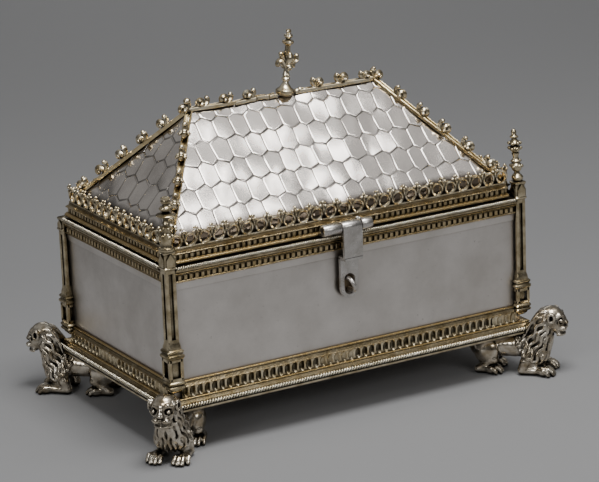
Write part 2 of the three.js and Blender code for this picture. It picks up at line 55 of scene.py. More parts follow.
BOX_LOW, (HALF_X, HALF_Y, RIM_TOP) = corners_mm("box_body")
BASE_Z = BOX_LOW[2]
BASE_OUT = corners_mm("base_moulding_right")[1][0] - HALF_X
LID_X = sum(corner[0] for corner in corners_mm("lid_moulding_front")) / 2
LID_OUT = 1.7  # how far the lid's lower fillet stands out from its panel plane
LID_HALF_X = LID_X - corners_mm("lid_moulding_left")[0][0] - LID_OUT
RIDGE_Z = corners_mm("lid_roof")[1][2]
RIDGE_X, RIDGE_HALF = -2.1, 42.0
EAVES_Z = 80.0
ROOF_IN = 2.4  # how far the roof's foot stands in from the lid's panel planes
POST_HALF = 3.1
HINGE = np.array([-2.0, -48.4, 77.2])
SIDES = {"front": 0, "right": 1, "back": 2, "left": 3}
CORNERS = {"front_left": (-1, -1), "front_right": (1, -1), "back_right": (1, 1), "back_left": (-1, 1)}
rng = np.random.default_rng(7)


# Mesh building
class Piece:
    """Gathers closed shells, in millimetres, into one Blender object."""

    def __init__(self):
        self.verts = []
        self.faces = []
        self.count = 0

    def add(self, shell, place=None):
        verts, faces = shell
        verts = np.asarray(verts, float)
        if place is not None:
            verts = place(verts)
        self.verts.append(verts)
        self.faces += [tuple(i + self.count for i in face) for face in faces]
        self.count += len(verts)
        return self

    def finish(self, name, material, replaces=None, sharp=35.0, body="casket"):
        mesh = bpy.data.meshes.new(name)
        mesh.from_pydata(np.concatenate(self.verts) * MM, [], self.faces)
        made = bmesh.new()
        made.from_mesh(mesh)
        bmesh.ops.recalc_face_normals(made, faces=made.faces)
        made.to_mesh(mesh)
        made.free()
        mesh.shade_smooth()
        mesh.set_sharp_from_angle(angle=math.radians(sharp))
        mesh.materials.append(material)
        obj = bpy.data.objects.new(name, mesh)
        bpy.context.scene.collection.objects.link(obj)
        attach(obj, body)
        if replaces:
            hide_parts(replaces)


def unit(vector):
    return vector / np.linalg.norm(vector)


def turned_by(angle, axes=(0, 1)):
    """A turn in the plane of two axes, from the first towards the second."""
    first, second = axes
    c, s = math.cos(angle), math.sin(angle)

    def turn(points):
        turned = points.copy()
        turned[:, first] = c * points[:, first] - s * points[:, second]
        turned[:, second] = s * points[:, first] + c * points[:, second]
        return turned

    return turn


def side_place(side, plane, shift=0.0):
    """Local [along, out, height] to the casket's frame, for one of its sides."""
    turn = turned_by(SIDES[side] * math.pi / 2)
    return lambda p: turn(np.column_stack([p[:, 0], -plane - p[:, 1], p[:, 2]])) + (shift, 0, 0)


def is_long(side):
    return side in ("front", "back")


def plane_and_half(side, half_x):
    """How far a side's plane stands from the middle, and half the side's length."""
    return (HALF_Y, half_x) if is_long(side) else (half_x, HALF_Y)


def eaves_corner(sx, sy):
    return np.array([LID_X + sx * (LID_HALF_X - ROOF_IN), sy * (HALF_Y - ROOF_IN), EAVES_Z])


def ridge_end(sx):
    return np.array([RIDGE_X + sx * RIDGE_HALF, 0, RIDGE_Z])


def loft(rings, closed=False):
    """Skins over rings that have equal counts of points, and caps the two ends unless closed."""
    rings = np.asarray(rings, float)
    m, n = rings.shape[:2]
    faces = []
    for i in range(m if closed else m - 1):
        a, b = i * n, ((i + 1) % m) * n
        faces += [(a + j, a + (j + 1) % n, b + (j + 1) % n, b + j) for j in range(n)]
    if not closed:
        faces += [tuple(range(n))[::-1], tuple(range((m - 1) * n, m * n))]
    return rings.reshape(-1, 3), faces


def circle(n):
    angles = np.arange(n) * 2 * np.pi / n
    return np.stack([np.cos(angles), np.sin(angles)], -1)


def revolve(profile, sides=16):
    """Turns [radius, height] rows about an upright axis."""
    return loft([np.column_stack([circle(sides) * max(radius, 0.01), np.full(sides, z)])
                 for radius, z in profile])


def ball(centre, radii, sides=10, rows=6):
    """An ellipsoid."""
    angles = np.linspace(-np.pi / 2, np.pi / 2, rows + 1)
    verts, faces = revolve([(math.cos(a), math.sin(a)) for a in angles], sides)
    return verts * radii + centre, faces


def tube(path, radius, sides=8, flat=1.0):
    """A round or flattened tube along a path; radius is a number or one for each point."""
    path = np.asarray(path, float)
    tangents = np.gradient(path, axis=0)
    tangents /= np.linalg.norm(tangents, axis=1)[:, None]
    normal = np.cross(tangents[0], (0, 0, 1.0) if abs(tangents[0][2]) < 0.9 else (0, 1.0, 0))
    rings = []
    for point, tangent, size in zip(path, tangents, np.broadcast_to(radius, len(path))):
        normal = unit(normal - tangent * (normal @ tangent))
        rings.append(point + size * circle(sides) @ np.array([normal * flat, np.cross(tangent, normal)]))
    return loft(rings)


def smooth_path(points, steps=4):
    """A rounded path through the points given."""
    points = np.asarray(points, float)
    ends = np.vstack([2 * points[0] - points[1], points, 2 * points[-1] - points[-2]])
    path = []
    for i in range(1, len(ends) - 2):
        a, b, c, d = ends[i - 1:i + 3]
        for t in np.arange(steps) / steps:
            path.append(0.5 * (2 * b + (c - a) * t + (2 * a - 5 * b + 4 * c - d) * t ** 2
                               + (3 * b - a - 3 * c + d) * t ** 3))
    return np.array([*path, points[-1]])


def run(profile, half, mitre=0.0):
    """A straight moulding of [out, height] points, reaching half to each side of its middle."""
    out, height = np.array(profile, float).T
    return loft([np.column_stack([sign * (half + mitre * out), out, height]) for sign in (-1, 1)])


def bulge(out, low, high, reach, steps=6):
    """Points of a half-round moulding, from low to high, standing out by reach."""
    middle, half = (low + high) / 2, (high - low) / 2
    angles = np.linspace(0, np.pi, steps + 1)
    return [(out + reach * math.sin(a), middle - half * math.cos(a)) for a in angles]


def node(tree, kind, inputs=None, **settings):
    made = tree.nodes.new(kind)
    for key, value in settings.items():
        setattr(made, key, value)
    for key, value in (inputs or {}).items():
        if isinstance(value, bpy.types.NodeSocket):
            tree.links.new(value, made.inputs[key])
        else:
            made.inputs[key].default_value = value
    return made


def grey(value):
    return (value, value, value)


def ramp(tree, source, stops):
    """Greys at places along a source, given as [place, value]."""
    made = node(tree, "ShaderNodeValToRGB", {"Fac": source})
    elements = made.color_ramp.elements
    while len(elements) < len(stops):
        elements.new(1.0)
    for element, (place, value) in zip(elements, stops):
        element.position = place
        element.color = (*grey(value), 1)
    return made.outputs["Color"]


def noise(tree, where, scale, detail=4.0, rough=0.55):
    return node(tree, "ShaderNodeTexNoise", {"Vector": where, "Scale": scale, "Detail": detail,
                                             "Roughness": rough}).outputs["Fac"]


def mix(tree, factor, a, b, kind="MIX"):
    a, b = [(*value, 1) if isinstance(value, tuple) else value for value in (a, b)]
    return node(tree, "ShaderNodeMix", {0: factor, 6: a, 7: b}, data_type="RGBA", blend_type=kind).outputs[2]


def maths(tree, operation, a, b):
    return node(tree, "ShaderNodeMath", {0: a, 1: b}, operation=operation).outputs[0]


def height_of(tree, where):
    return node(tree, "ShaderNodeSeparateXYZ", {0: where}).outputs["Z"]


def start_material(name):
    material = bpy.data.materials.new(name)
    material.use_nodes = True
    tree = material.node_tree
    shader = tree.nodes["Principled BSDF"]
    shader.inputs["Metallic"].default_value = 1.0
    return material, tree, shader, node(tree, "ShaderNodeTexCoord").outputs["Object"]


def recess(tree, reach, low, high):
    """1 on open surfaces, falling to 0 in corners and hollows of about this reach."""
    made = node(tree, "ShaderNodeAmbientOcclusion", {"Distance": reach * MM}, samples=8)
    return ramp(tree, made.outputs["AO"], [(low, 0.0), (high, 1.0)])


BUMP_DEEP = 0.08
SCRATCH_DEEP, DENT_DEEP = 0.02, 0.25
DRIFT = 3.0  # how far the painted shade at the roof's foot rises and falls
GILT = (0.66, 0.46, 0.18)
# How much gilding is left from each height on, up to the next
GILT_BANDS = [(0.0, 0.0), (19.8, 0.45), (21.2, 0.9), (22.0, 0.4), (27.0, 0.3), (27.8, 1.0), (28.8, 0.0),
              (64.2, 0.6), (64.9, 0.1), (67.4, 0.5), (70.7, 0.9), (71.5, 0.2), (72.9, 0.0), (74.6, 0.9),
              (76.2, 0.4), (79.4, 0.8), (80.4, 0.0)]
GILT_TOP = 100.0
SLOT_MIDDLE = 53.4  # height of the hasp's slot


def cast_metal(name, slot, light, dark, tarnish_and_painted_shade, reach, rough, opens, rugged, bands=None):
    """Cast and chased metal: bright on what stands out, darkened in the hollows, partly tarnish and partly
    painted shade.
    """
    material, tree, shader, where = start_material(name)
    colour = mix(tree, ramp(tree, noise(tree, where, 260.0), [(0.35, 0.0), (0.68, 1.0)]), light, dark)
    if bands:
        level = maths(tree, "DIVIDE", height_of(tree, where), GILT_TOP * MM)
        left = ramp(tree, level, [(z / GILT_TOP, share) for z, share in bands])
        tree.nodes[-1].color_ramp.interpolation = "CONSTANT"
        worn = ramp(tree, noise(tree, where, 420.0, 6.0, 0.7), [(0.3, 0.35), (0.6, 1.0)])
        colour = mix(tree, mix(tree, 1.0, left, worn, "MULTIPLY"), colour, GILT)
    # Occlusion mask: hollows and corners take the dark colour, partly real tarnish and partly painted shade.
    open_face = recess(tree, reach, *opens)
    tree.links.new(mix(tree, open_face, tarnish_and_painted_shade, colour), shader.inputs["Base Color"])
    spread = ramp(tree, noise(tree, where, 1500.0, 3.0), [(0.3, rough[0]), (0.75, rough[0] + 0.16)])
    tree.links.new(mix(tree, open_face, grey(rough[1]), spread), shader.inputs["Roughness"])
    bump = node(tree, "ShaderNodeBump", {"Strength": rugged, "Distance": BUMP_DEEP * MM,
                                         "Height": noise(tree, where, 900.0)})
    tree.links.new(bump.outputs["Normal"], shader.inputs["Normal"])
    return material


def sheet_metal(name, light, dark, tarnish_and_painted_shade, rough, reach, edges, foot=None, painted_shadow=None):
    """Planished sheet: soft mottling, fine scratches, and darkening in from the edges and hollows that is
    partly tarnish and partly painted shade.
    """
    material, tree, shader, where = start_material(name)
    cloud = ramp(tree, noise(tree, where, 60.0, 5.0, 0.6), [(0.3, 0.0), (0.72, 1.0)])
    speck = ramp(tree, noise(tree, where, 900.0, 2.0), [(0.70, 0.0), (0.80, 0.45)])
    colour = mix(tree, speck, mix(tree, cloud, light, dark), tarnish_and_painted_shade)
    # How much colour the hollows and corners keep; the dark colour there is partly tarnish, partly painted
    # shade.
    edge = mix(tree, noise(tree, where, 180.0), grey(edges[0]), grey(edges[1]))
    colour = mix(tree, mix(tree, recess(tree, reach, 0.35, 0.97), edge, grey(1.0)), tarnish_and_painted_shade, colour)
    # Painted shade at the roof's foot, which lies in shadow behind the cresting: darkest at the bottom.
    if foot:
        low, high = foot
        drift = maths(tree, "MULTIPLY", noise(tree, where, 150.0), DRIFT * MM)
        rise = maths(tree, "SUBTRACT", maths(tree, "SUBTRACT", height_of(tree, where), drift), low * MM)
        level = maths(tree, "DIVIDE", rise, (high - low) * MM)
        colour = mix(tree, ramp(tree, level, [(0.0, 0.0), (1.0, 1.0)]), tarnish_and_painted_shade, colour)
    # A painted shadow: a round patch that takes the dark colour, darkest in its middle half.
    if painted_shadow:
        centre, radius = painted_shadow
        away = node(tree, "ShaderNodeVectorMath", {0: where, 1: np.array(centre) * MM}, operation="DISTANCE")
        away = maths(tree, "DIVIDE", away.outputs["Value"], radius * MM)
        colour = mix(tree, ramp(tree, away, [(0.5, 0.0), (1.0, 1.0)]), tarnish_and_painted_shade, colour)
    tree.links.new(colour, shader.inputs["Base Color"])
    stretch = node(tree, "ShaderNodeMapping", {"Vector": where, "Scale": (30.0, 30.0, 1500.0),
                                               "Rotation": (0.3, 0.5, 0.2)})
    lines = noise(tree, stretch.outputs[0], 3.0, 6.0, 0.65)
    spread = ramp(tree, cloud, [(0.0, rough[0]), (1.0, rough[1])])
    tree.links.new(mix(tree, 0.25, spread, lines, "OVERLAY"), shader.inputs["Roughness"])
    scratches = node(tree, "ShaderNodeBump", {"Strength": 0.25, "Distance": SCRATCH_DEEP * MM,
                                              "Height": lines})
    dents = node(tree, "ShaderNodeBump", {"Strength": 0.6, "Distance": DENT_DEEP * MM,
                                          "Height": noise(tree, where, 45.0, 2.0),
                                          "Normal": scratches.outputs["Normal"]})
    tree.links.new(dents.outputs["Normal"], shader.inputs["Normal"])
    return material


# The panel carries a painted shadow round the staple, behind the hasp plate.
PANEL = sheet_metal("panel_silver", (0.85, 0.805, 0.76), (0.675, 0.635, 0.59), (0.15, 0.11, 0.07),
                    (0.30, 0.42), 6.0, (0.0, 0.8), painted_shadow=((HINGE[0], -HALF_Y, SLOT_MIDDLE), 6.0))
# The roof's foot carries a band of painted shade behind the cresting.
ROOF = sheet_metal("roof_silver", (0.69, 0.64, 0.59), (0.53, 0.485, 0.445), (0.07, 0.055, 0.04), (0.13, 0.2),
                   0.9, (0.5, 0.9), foot=(82.6, 84.8))
# Name, slot, light and dark metal, colour of tarnish and painted shade, reach of the hollows, roughness on
# open faces and in hollows, openness from which the tarnish and painted shade thin and where they end,
# ruggedness, and bands of gilding
TRIM, CREST, EDGING, WIRE, SHADE_LEDGE, CAST, POST, ARCADE, HASP = [cast_metal(*row) for row in (
    ("gilt_trim", "gilt_silver", (0.74, 0.64, 0.45), (0.32, 0.25, 0.14), (0.014, 0.010, 0.006), 1.9,
     (0.13, 0.45), (0.5, 0.97), 0.5, GILT_BANDS),
    ("gilt_crest", "gilt_silver", (0.97, 0.87, 0.66), (0.68, 0.54, 0.31), (0.016, 0.012, 0.007), 1.7,
     (0.11, 0.4), (0.3, 0.88), 0.35),
    ("gilt_edging", "gilt_silver", (0.90, 0.76, 0.48), (0.62, 0.47, 0.24), (0.02, 0.014, 0.008), 0.8,
     (0.12, 0.45), (0.3, 0.85), 0.4),
    ("gilt_wire", "gilt_silver", (0.95, 0.88, 0.72), (0.74, 0.64, 0.44), (0.006, 0.005, 0.003), 1.0,
     (0.12, 0.45), (0.6, 0.84), 0.05),
    # Nearly black: painted shade on the cove seen through the cresting's rings.
    ("painted_shade_ledge", "gilt_silver", (0.075, 0.055, 0.035), (0.03, 0.022, 0.014), (0.010, 0.008, 0.005), 1.7,
     (0.3, 0.5), (0.3, 0.9), 0.2),
    ("cast_silver", "cast_silver", (0.82, 0.75, 0.63), (0.36, 0.29, 0.19), (0.010, 0.008, 0.005), 2.4,
     (0.11, 0.45), (0.6, 1.0), 0.12),
    ("gilt_post", "cast_silver", (0.78, 0.67, 0.46), (0.32, 0.25, 0.13), (0.010, 0.008, 0.005), 2.2,
     (0.11, 0.45), (0.55, 0.98), 0.3),
    ("gilt_arcade", "gilt_silver", (0.90, 0.79, 0.56), (0.50, 0.38, 0.19), (0.006, 0.005, 0.003), 2.6,
     (0.12, 0.45), (0.5, 0.95), 0.4),
    ("hasp_metal", "hasp_metal", (0.72, 0.69, 0.655), (0.55, 0.52, 0.48), (0.07, 0.05, 0.035), 2.0,
     (0.24, 0.5), (0.2, 0.8), 0.2),
)]


# Box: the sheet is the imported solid, with its own finish
def dress_box():
    for name, material in (("box_body", PANEL), ("lid_roof", ROOF)):
        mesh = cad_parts[name].data
        mesh.materials.clear()
        mesh.materials.append(material)


# Engraved roof: each slope is a thin plate of hexagons, cut in with a graver
LONG_CELLS = {"pitch": 7.3, "rows": (-6.1, 3.7, 13.5, 23.5, 33.3, 43.2, 53.0, 62.8),
              "starts": (19.6, 16.0, 20.5, 17.8, 21.0, 17.9, 21.2)}
SHORT_CELLS = {"pitch": 8.8, "rows": (-1.0, 9.0, 19.0, 29.0, 39.0, 49.0, 59.0),
               "starts": (32.6, 37.0, 32.2, 36.4, 32.0, 36.4)}
ZIGZAG = 1.05  # how far the lines between the rows rise and fall
TILT = 0.010  # of a cell by chance, as rise per millimetre
GROOVE_DEEP = 0.16
GROOVE_SHAPE = [(0.0, GROOVE_DEEP), (0.12, 0.095), (0.42, 0.0), (0.8, 0.0)]  # in from a cell's edge, sunk
SHORTEST_EDGE, NARROWEST = 0.08, 0.6  # of a cell that is cut by the slope's edge
PLATE_RISE, PLATE_FOOT = 0.36, -0.3
CROWN = 0.04
# Cells of the front slope that are beaten towards the light: along the eaves, up the slope, tilt
LIT_CELLS = [(87, 28, 1.0), (89, 18, 1.0), (68, 28, 0.8), (72, 38, 0.8), (70, 18, 0.8), (28, 28, 0.7),
             (28, 19, 0.7), (19, 11, 0.6), (63, 12, 0.6), (42, 11, 0.6), (126, 40, 0.8), (48, 38, 0.5),
             (105, 28, 0.4), (111, 12, 0.5), (98, 48, 0.5), (36, 8, 0.5)]
LIT_REACH = 4.6
LIT_STEEPEST = 0.08
SPARK = np.array([360.0, -285.0, 900.0])  # a small light that the beaten cells reflect


def clip(polygon, point, normal):
    """The part of a polygon on the side that a normal points to."""
    kept = []
    for i, a in enumerate(polygon):
        b = polygon[(i + 1) % len(polygon)]
        da, db = (a - point) @ normal, (b - point) @ normal
        if da >= 0:
            kept.append(a)
        if (da >= 0) != (db >= 0):
            kept.append(a + (b - a) * da / (da - db))
    return kept


def slope_outline(side):
    """Corners of one slope, counted from the eaves' left, seen from outside."""
    corners = [*CORNERS.values()] * 2
    left, right = corners[SIDES[side]], corners[SIDES[side] + 1]
    ridge = [ridge_end(sx) for sx in dict.fromkeys((right[0], left[0]))]
    return [eaves_corner(*left), eaves_corner(*right), *ridge]


def upright_lines(layout, width):
    """For each row, the lower and upper ends of its upright lines, with the hand's small errors."""
    pitch, rows = layout["pitch"], layout["rows"]
    lines = []
    for start, low, high in zip(layout["starts"], rows, rows[1:]):
        xs = np.arange(start % pitch - 2 * pitch, width + 2 * pitch, pitch)
        xs = xs + rng.normal(0, 0.3, len(xs))
        lines.append([np.column_stack([xs + rng.normal(0, 0.14, len(xs)), z + rng.normal(0, 0.22, len(xs))])
                      for z in (low + ZIGZAG, high - ZIGZAG)])
    return lines


def hexagon_tip(a, b, z, ends):
    """The corner between two lines: the nearest end in the next row, or a point at height z."""
    middle = (a[0] + b[0]) / 2
    return np.array([middle, z]) if ends is None else ends[np.argmin(np.abs(ends[:, 0] - middle))]


def hexagon_cells(layout, width):
    """Corner points of hexagons, long up the slope; neighbours share their corners."""
    lines = upright_lines(layout, width)
    cells = []
    for row, (low, high) in enumerate(lines):
        foot, top = layout["rows"][row] - ZIGZAG, layout["rows"][row + 1] + ZIGZAG
        below = lines[row - 1][1] if row else None
        above = lines[row + 1][0] if row + 1 < len(lines) else None
        for a, b, c, d in zip(low, low[1:], high[1:], high):
            cells.append([a, hexagon_tip(a, b, foot, below), b, c, hexagon_tip(d, c, top, above), d])
    return cells


def undulation(u, v):
    """Slow waves left by planishing."""
    return (0.16 * math.sin(u * 0.23 + 1.3 * math.sin(v * 0.11)) + 0.13 * math.sin(v * 0.31 + u * 0.09 + 1.0)
            + 0.07 * math.sin(u * 0.53 - v * 0.37))


def cell_tilt(side, middle, facing):
    """How one cell leans, in rise per millimetre along and up the slope."""
    tilt = rng.normal(0, TILT, 2)
    if side == "front":
        for u, v, share in LIT_CELLS:
            if np.hypot(middle[0] - u, middle[1] - v) < LIT_REACH:
                tilt = tilt * 0.3 + share * facing * min(1, LIT_STEEPEST / np.linalg.norm(facing))
    return tilt


def add_cell(made, polygon, tilt):
    """One hexagon: its line is cut down at the edge, and its middle is very slightly raised."""
    polygon = np.array(polygon)
    edges = np.linalg.norm(polygon - np.roll(polygon, 1, axis=0), axis=1)
    polygon = polygon[edges > SHORTEST_EDGE]
    if len(polygon) < 3:
        return
    centre = polygon.mean(0)
    away = np.linalg.norm(polygon - centre, axis=1)
    if away.min() < NARROWEST:
        made.faces.new([made.verts.new((*p, PLATE_RISE - GROOVE_DEEP)) for p in polygon])
        return
    rings = []
    for inset, sunk in GROOVE_SHAPE:
        inner = centre + (polygon - centre) * (1 - np.minimum(inset / away, 0.8))[:, None]
        lean = tilt if sunk < 0.1 else 0 * tilt
        rings.append([made.verts.new((*p, PLATE_RISE - sunk + (p - centre) @ lean)) for p in inner])
    middle = made.verts.new((*centre, PLATE_RISE + CROWN))
    for i in range(len(polygon)):
        j = (i + 1) % len(polygon)
        for lower, upper in zip(rings, rings[1:]):
            made.faces.new([lower[i], lower[j], upper[j], upper[i]])
        made.faces.new([rings[-1][i], rings[-1][j], middle])


def engrave(side):
    """One slope's plate of hexagons, closed below."""
    outline = slope_outline(side)
    origin = outline[0]
    along = unit(outline[1] - origin)
    normal = unit(np.cross(along, outline[2] - origin))
    axes = np.array([along, np.cross(normal, along), normal])
    flat = [(axes @ (corner - origin))[:2] for corner in outline]
    made = bmesh.new()
    for cell in hexagon_cells(LONG_CELLS if is_long(side) else SHORT_CELLS, flat[1][0]):
        polygon = cell
        for a, b in zip(flat, flat[1:] + flat[:1]):
            edge = unit(b - a)
            polygon = clip(polygon, a, np.array([-edge[1], edge[0]]))
        if len(polygon) < 3:
            continue
        middle = np.mean(cell, axis=0)
        point = origin + middle @ axes[:2]
        half = axes @ (unit(camera_eye() - point) + unit(SPARK - point))
        add_cell(made, polygon, cell_tilt(side, middle, -half[:2] / half[2]))
    bmesh.ops.remove_doubles(made, verts=made.verts, dist=0.05)
    for vert in made.verts:
        vert.co.z += undulation(vert.co.x, vert.co.y)
    rim = [e for e in made.edges if e.is_boundary]
    lower = bmesh.ops.extrude_edge_only(made, edges=rim)["geom"]
    for vert in [v for v in lower if isinstance(v, bmesh.types.BMVert)]:
        vert.co.z = PLATE_FOOT
    bottom = [e for e in lower if isinstance(e, bmesh.types.BMEdge) and e.is_boundary]
    bmesh.ops.contextual_create(made, geom=bottom)
    piece = Piece().add(shell_of(made), lambda p: origin + p @ axes)
    piece.finish(f"roof_engraving_{side}", ROOF, sharp=38.0)


def shell_of(made):
    """The points and faces of a bmesh, which is then freed."""
    made.verts.ensure_lookup_table()
    shell = np.array([v.co for v in made.verts]), [tuple(v.index for v in f.verts) for f in made.faces]
    made.free()
    return shell


# Mouldings
DENTIL_PITCH = 2.47
DENTIL_CHAMFER = 0.22
WIRE_PITCH = 1.0
BASE_WIRE_PITCH = 1.2
ROPE_SIDES = 12
ROPE_CORE = 0.22  # radius left in the grooves, as a share of the whole


def dentils(piece, place, half, out, z0, z1):
    """A row of small blocks with chamfered faces, a little uneven."""
    count = int(2 * half / DENTIL_PITCH)
    for i in range(count):
        x = (i + 0.5 - count / 2) * DENTIL_PITCH + rng.normal(0, 0.06)
        wide = 0.72 + rng.normal(0, 0.04)
        face = out - rng.normal(0, 0.05)
        rings = []
        for depth, c in ((-0.2, 0), (face - DENTIL_CHAMFER, 0), (face, DENTIL_CHAMFER)):
            low, high = x - wide + c, x + wide - c
            rings.append([(low, depth, z0 + c), (high, depth, z0 + c),
                          (high, depth, z1 - c), (low, depth, z1 - c)])
        piece.add(loft(rings), place)


def twisted_wire(name, place, half, out, height, radius, pitch):
    """Two strands twisted together, with a bright ridge every pitch and sharp grooves between."""
    start, end = place(np.array([[-half, out, height], [half, out, height]]))
    along = unit(end - start)
    axes = np.array([np.cross(along, (0, 0, 1.0)), (0, 0, 1.0)])
    ring = circle(ROPE_SIDES)
    rings = []
    for i in range(int(np.linalg.norm(end - start) / pitch) * ROPE_SIDES // 2 + 1):
        turn = np.roll(np.abs(ring[:, 0]), i) ** 0.75
        outline = ring * (radius * (ROPE_CORE + (1 - ROPE_CORE) * turn))[:, None]
        rings.append(start + along * (i * 2 * pitch / ROPE_SIDES) + outline @ axes)
    Piece().add(loft(rings)).finish(name, WIRE, sharp=50.0)


def rim_trim(side):
    plane, half = plane_and_half(side, HALF_X)
    half -= POST_HALF - 0.9
    place = side_place(side, plane)
    flange = [(0.3, 64.4), (0.45, 64.55), (0.7, 67.0), (0.9, 67.3), (0.3, 67.3)]
    Piece().add(run(flange, half), place).finish(f"rim_flange_{side}", PANEL)
    profile = [(0.3, 67.35), *bulge(0.95, 67.4, 68.3, 0.6),
               (0.7, 68.4), (0.7, 70.2), (1.3, 70.3), (1.3, 70.5), (1.0, 70.7), (1.0, 70.9),
               *bulge(1.6, 70.9, 71.5, 0.5), *bulge(1.7, 71.6, 72.9, 0.65), (1.6, RIM_TOP), (0.3, RIM_TOP)]
    piece = Piece().add(run(profile, half), place)
    dentils(piece, place, half - 0.6, 1.5, 68.25, 70.3)
    twisted_wire(f"rim_wire_{side}", place, half, 2.1, 73.45, 0.75, WIRE_PITCH)
    piece.finish(f"rim_trim_{side}", TRIM, f"rim_moulding_{side}")


def lid_trim(side):
    plane, half = plane_and_half(side, LID_HALF_X)
    half -= 2.7
    place = side_place(side, plane, LID_X)
    profile = [(0.3, 74.8), *bulge(1.3, 74.85, 75.85, 0.4), (1.1, 76.0), (0.55, 76.3), (-0.1, 76.4),
               (-0.1, 78.1), (0.7, 78.2), *bulge(0.75, 78.25, 78.8, 0.25), (0.2, 79.0), (-0.5, 79.25),
               (-0.5, 79.8), (-1.8, 79.8), (-1.8, 75.9), (0.3, 75.9)]
    piece = Piece().add(run(profile, half), place)
    dentils(piece, place, half - 0.4, 0.62, 76.3, 78.2)
    piece.finish(f"lid_trim_{side}", TRIM, f"lid_moulding_{side}")


FLUTE_PITCH = 3.2
FLUTE_LOW, FLUTE_HIGH = 22.0, 26.2
FLUTE_OUT, FLUTE_BACK = 1.75, 0.3
FLUTE_STEP, FLUTE_ROWS = 0.2, 13
ARCADED = ("front", "left")


def flute_band(half, plain):
    """A band of hollow flutes with thin ribs between, as a height field closed behind."""
    xs = np.linspace(-half, half, int(2 * half / FLUTE_STEP) + 1)
    tall = FLUTE_HIGH - FLUTE_LOW
    grid_x, grid_z = np.meshgrid(xs, np.linspace(FLUTE_LOW, FLUTE_HIGH, FLUTE_ROWS))
    lean = 0.35 * np.sin((grid_z - FLUTE_LOW) / tall * np.pi)
    across = ((grid_x + half + lean) % FLUTE_PITCH - FLUTE_PITCH / 2) / (0.36 * FLUTE_PITCH)
    upward = (grid_z - FLUTE_LOW - tall / 2) / (tall * 0.46)
    hollow = np.clip(1 - across ** 2 - np.abs(upward) ** 3, 0, 1) ** 0.5
    filled = (grid_x > half - 12) | (np.abs(grid_x + 8) < 8)  # where dirt has clogged the flutes
    deep = 0.35 if plain else np.where(filled, 0.6, 1.35)
    front = np.stack([grid_x, FLUTE_OUT - deep * hollow, grid_z], -1)
    back = np.stack([grid_x, np.full_like(grid_x, FLUTE_BACK), grid_z], -1)
    return loft(np.concatenate([front, back[::-1]]).swapaxes(0, 1))


def base_trim(side):
    plane, half = plane_and_half(side, HALF_X)
    place = side_place(side, plane)
    lower = [(0.0, BASE_Z), (BASE_OUT - 0.3, BASE_Z), (BASE_OUT - 0.05, BASE_Z + 0.3), (BASE_OUT - 0.1, 18.1),
             (3.9, 18.3), (3.5, 19.7), (3.3, 20.2), (2.9, 21.0), *bulge(2.5, 21.3, 22.0, 0.4), (0.0, 22.0)]
    upper = [(0.0, 26.1), *bulge(1.7, 26.1, 26.5, 0.25), (1.6, 26.7), (1.25, 27.6),
             *bulge(0.9, 27.75, 28.5, 0.3), (0.3, 28.6), (0.0, 28.6)]
    piece = Piece().add(run(lower, half, 1.0), place).add(run(upper, half, 1.0), place)
    Piece().add(flute_band(half - 2.5, side not in ARCADED), place).finish(f"arcade_{side}", ARCADE)
    twisted_wire(f"base_wire_{side}", place, half + BASE_OUT - 0.5, 3.85, 19.2, 0.95, BASE_WIRE_PITCH)
    piece.finish(f"base_trim_{side}", TRIM, f"base_moulding_{side}")


# Cresting: cast rings on a rail, with a three-lobed flower over each joint
RINGS = {True: (6.14, 25), False: (5.9, 14)}  # pitch and count on the long and the short sides
RING_MAJOR = 2.34
RING_TUBE = 0.51
RING_DEPTH = 1.8  # the ring is this much deeper than its wire is thick
RING_STEPS = 20
WOBBLE, SWELL = 0.04, 0.18  # unevenness of a ring's size and of its wire
CREST_IN = 1.45
CREST_Z = corners_mm("cresting_front")[0][2]
CREST_MIDDLE = CREST_Z + RING_MAJOR + RING_TUBE - 0.05


def ring_shell(x, z, seed):
    """One ring, with the small unevenness of a casting."""
    rings = []
    for angle in np.arange(RING_STEPS) * 2 * np.pi / RING_STEPS:
        outward = np.array([math.cos(angle), 0, math.sin(angle)])
        major = RING_MAJOR * (1 + WOBBLE * math.sin(3 * angle + seed))
        radius = RING_TUBE * (1 + SWELL * math.cos(2 * angle + seed))
        axes = np.array([outward, (0, RING_DEPTH, 0)])
        rings.append((x, 0, z) + major * outward + radius * circle(8) @ axes)
    return loft(rings, closed=True)


def crest_flower(piece, place, x):
    """Where two rings meet: a bead in front, and a stem with a cluster of small balls."""
    lean, size = rng.normal(0, 0.22), 0.92 + rng.normal(0, 0.09)
    top, z = x + lean, CREST_MIDDLE
    lobes = [((x, 0.5, z + 1.7), (0.5, 0.5, 0.6), 8, 5),
             ((top, 0.1, z + 4.1), np.array([0.7, 0.7, 0.66]) * size, 10, 6),
             ((top, 0.75, z + 3.15), np.array([0.62, 0.55, 0.55]) * size, 8, 5)]
    for s in (-1, 1):
        side_lobe = (top + s * 1.1, 0.15, z + 3.0 + rng.normal(0, 0.18))
        lobes.append((side_lobe, np.array([0.72, 0.7, 0.62]) * size, 10, 6))
        if rng.random() < 0.35:
            lobes.append(((top + s * 0.9, -0.2, z + 4.0), (0.5, 0.5, 0.5), 8, 5))
    piece.add(tube([(x, 0, z + 0.4), (x, 0, z + 1.6), (top, 0, z + 2.9)], [0.8, 0.6, 0.55], 6), place)
    for lobe in lobes:
        piece.add(ball(*lobe), place)


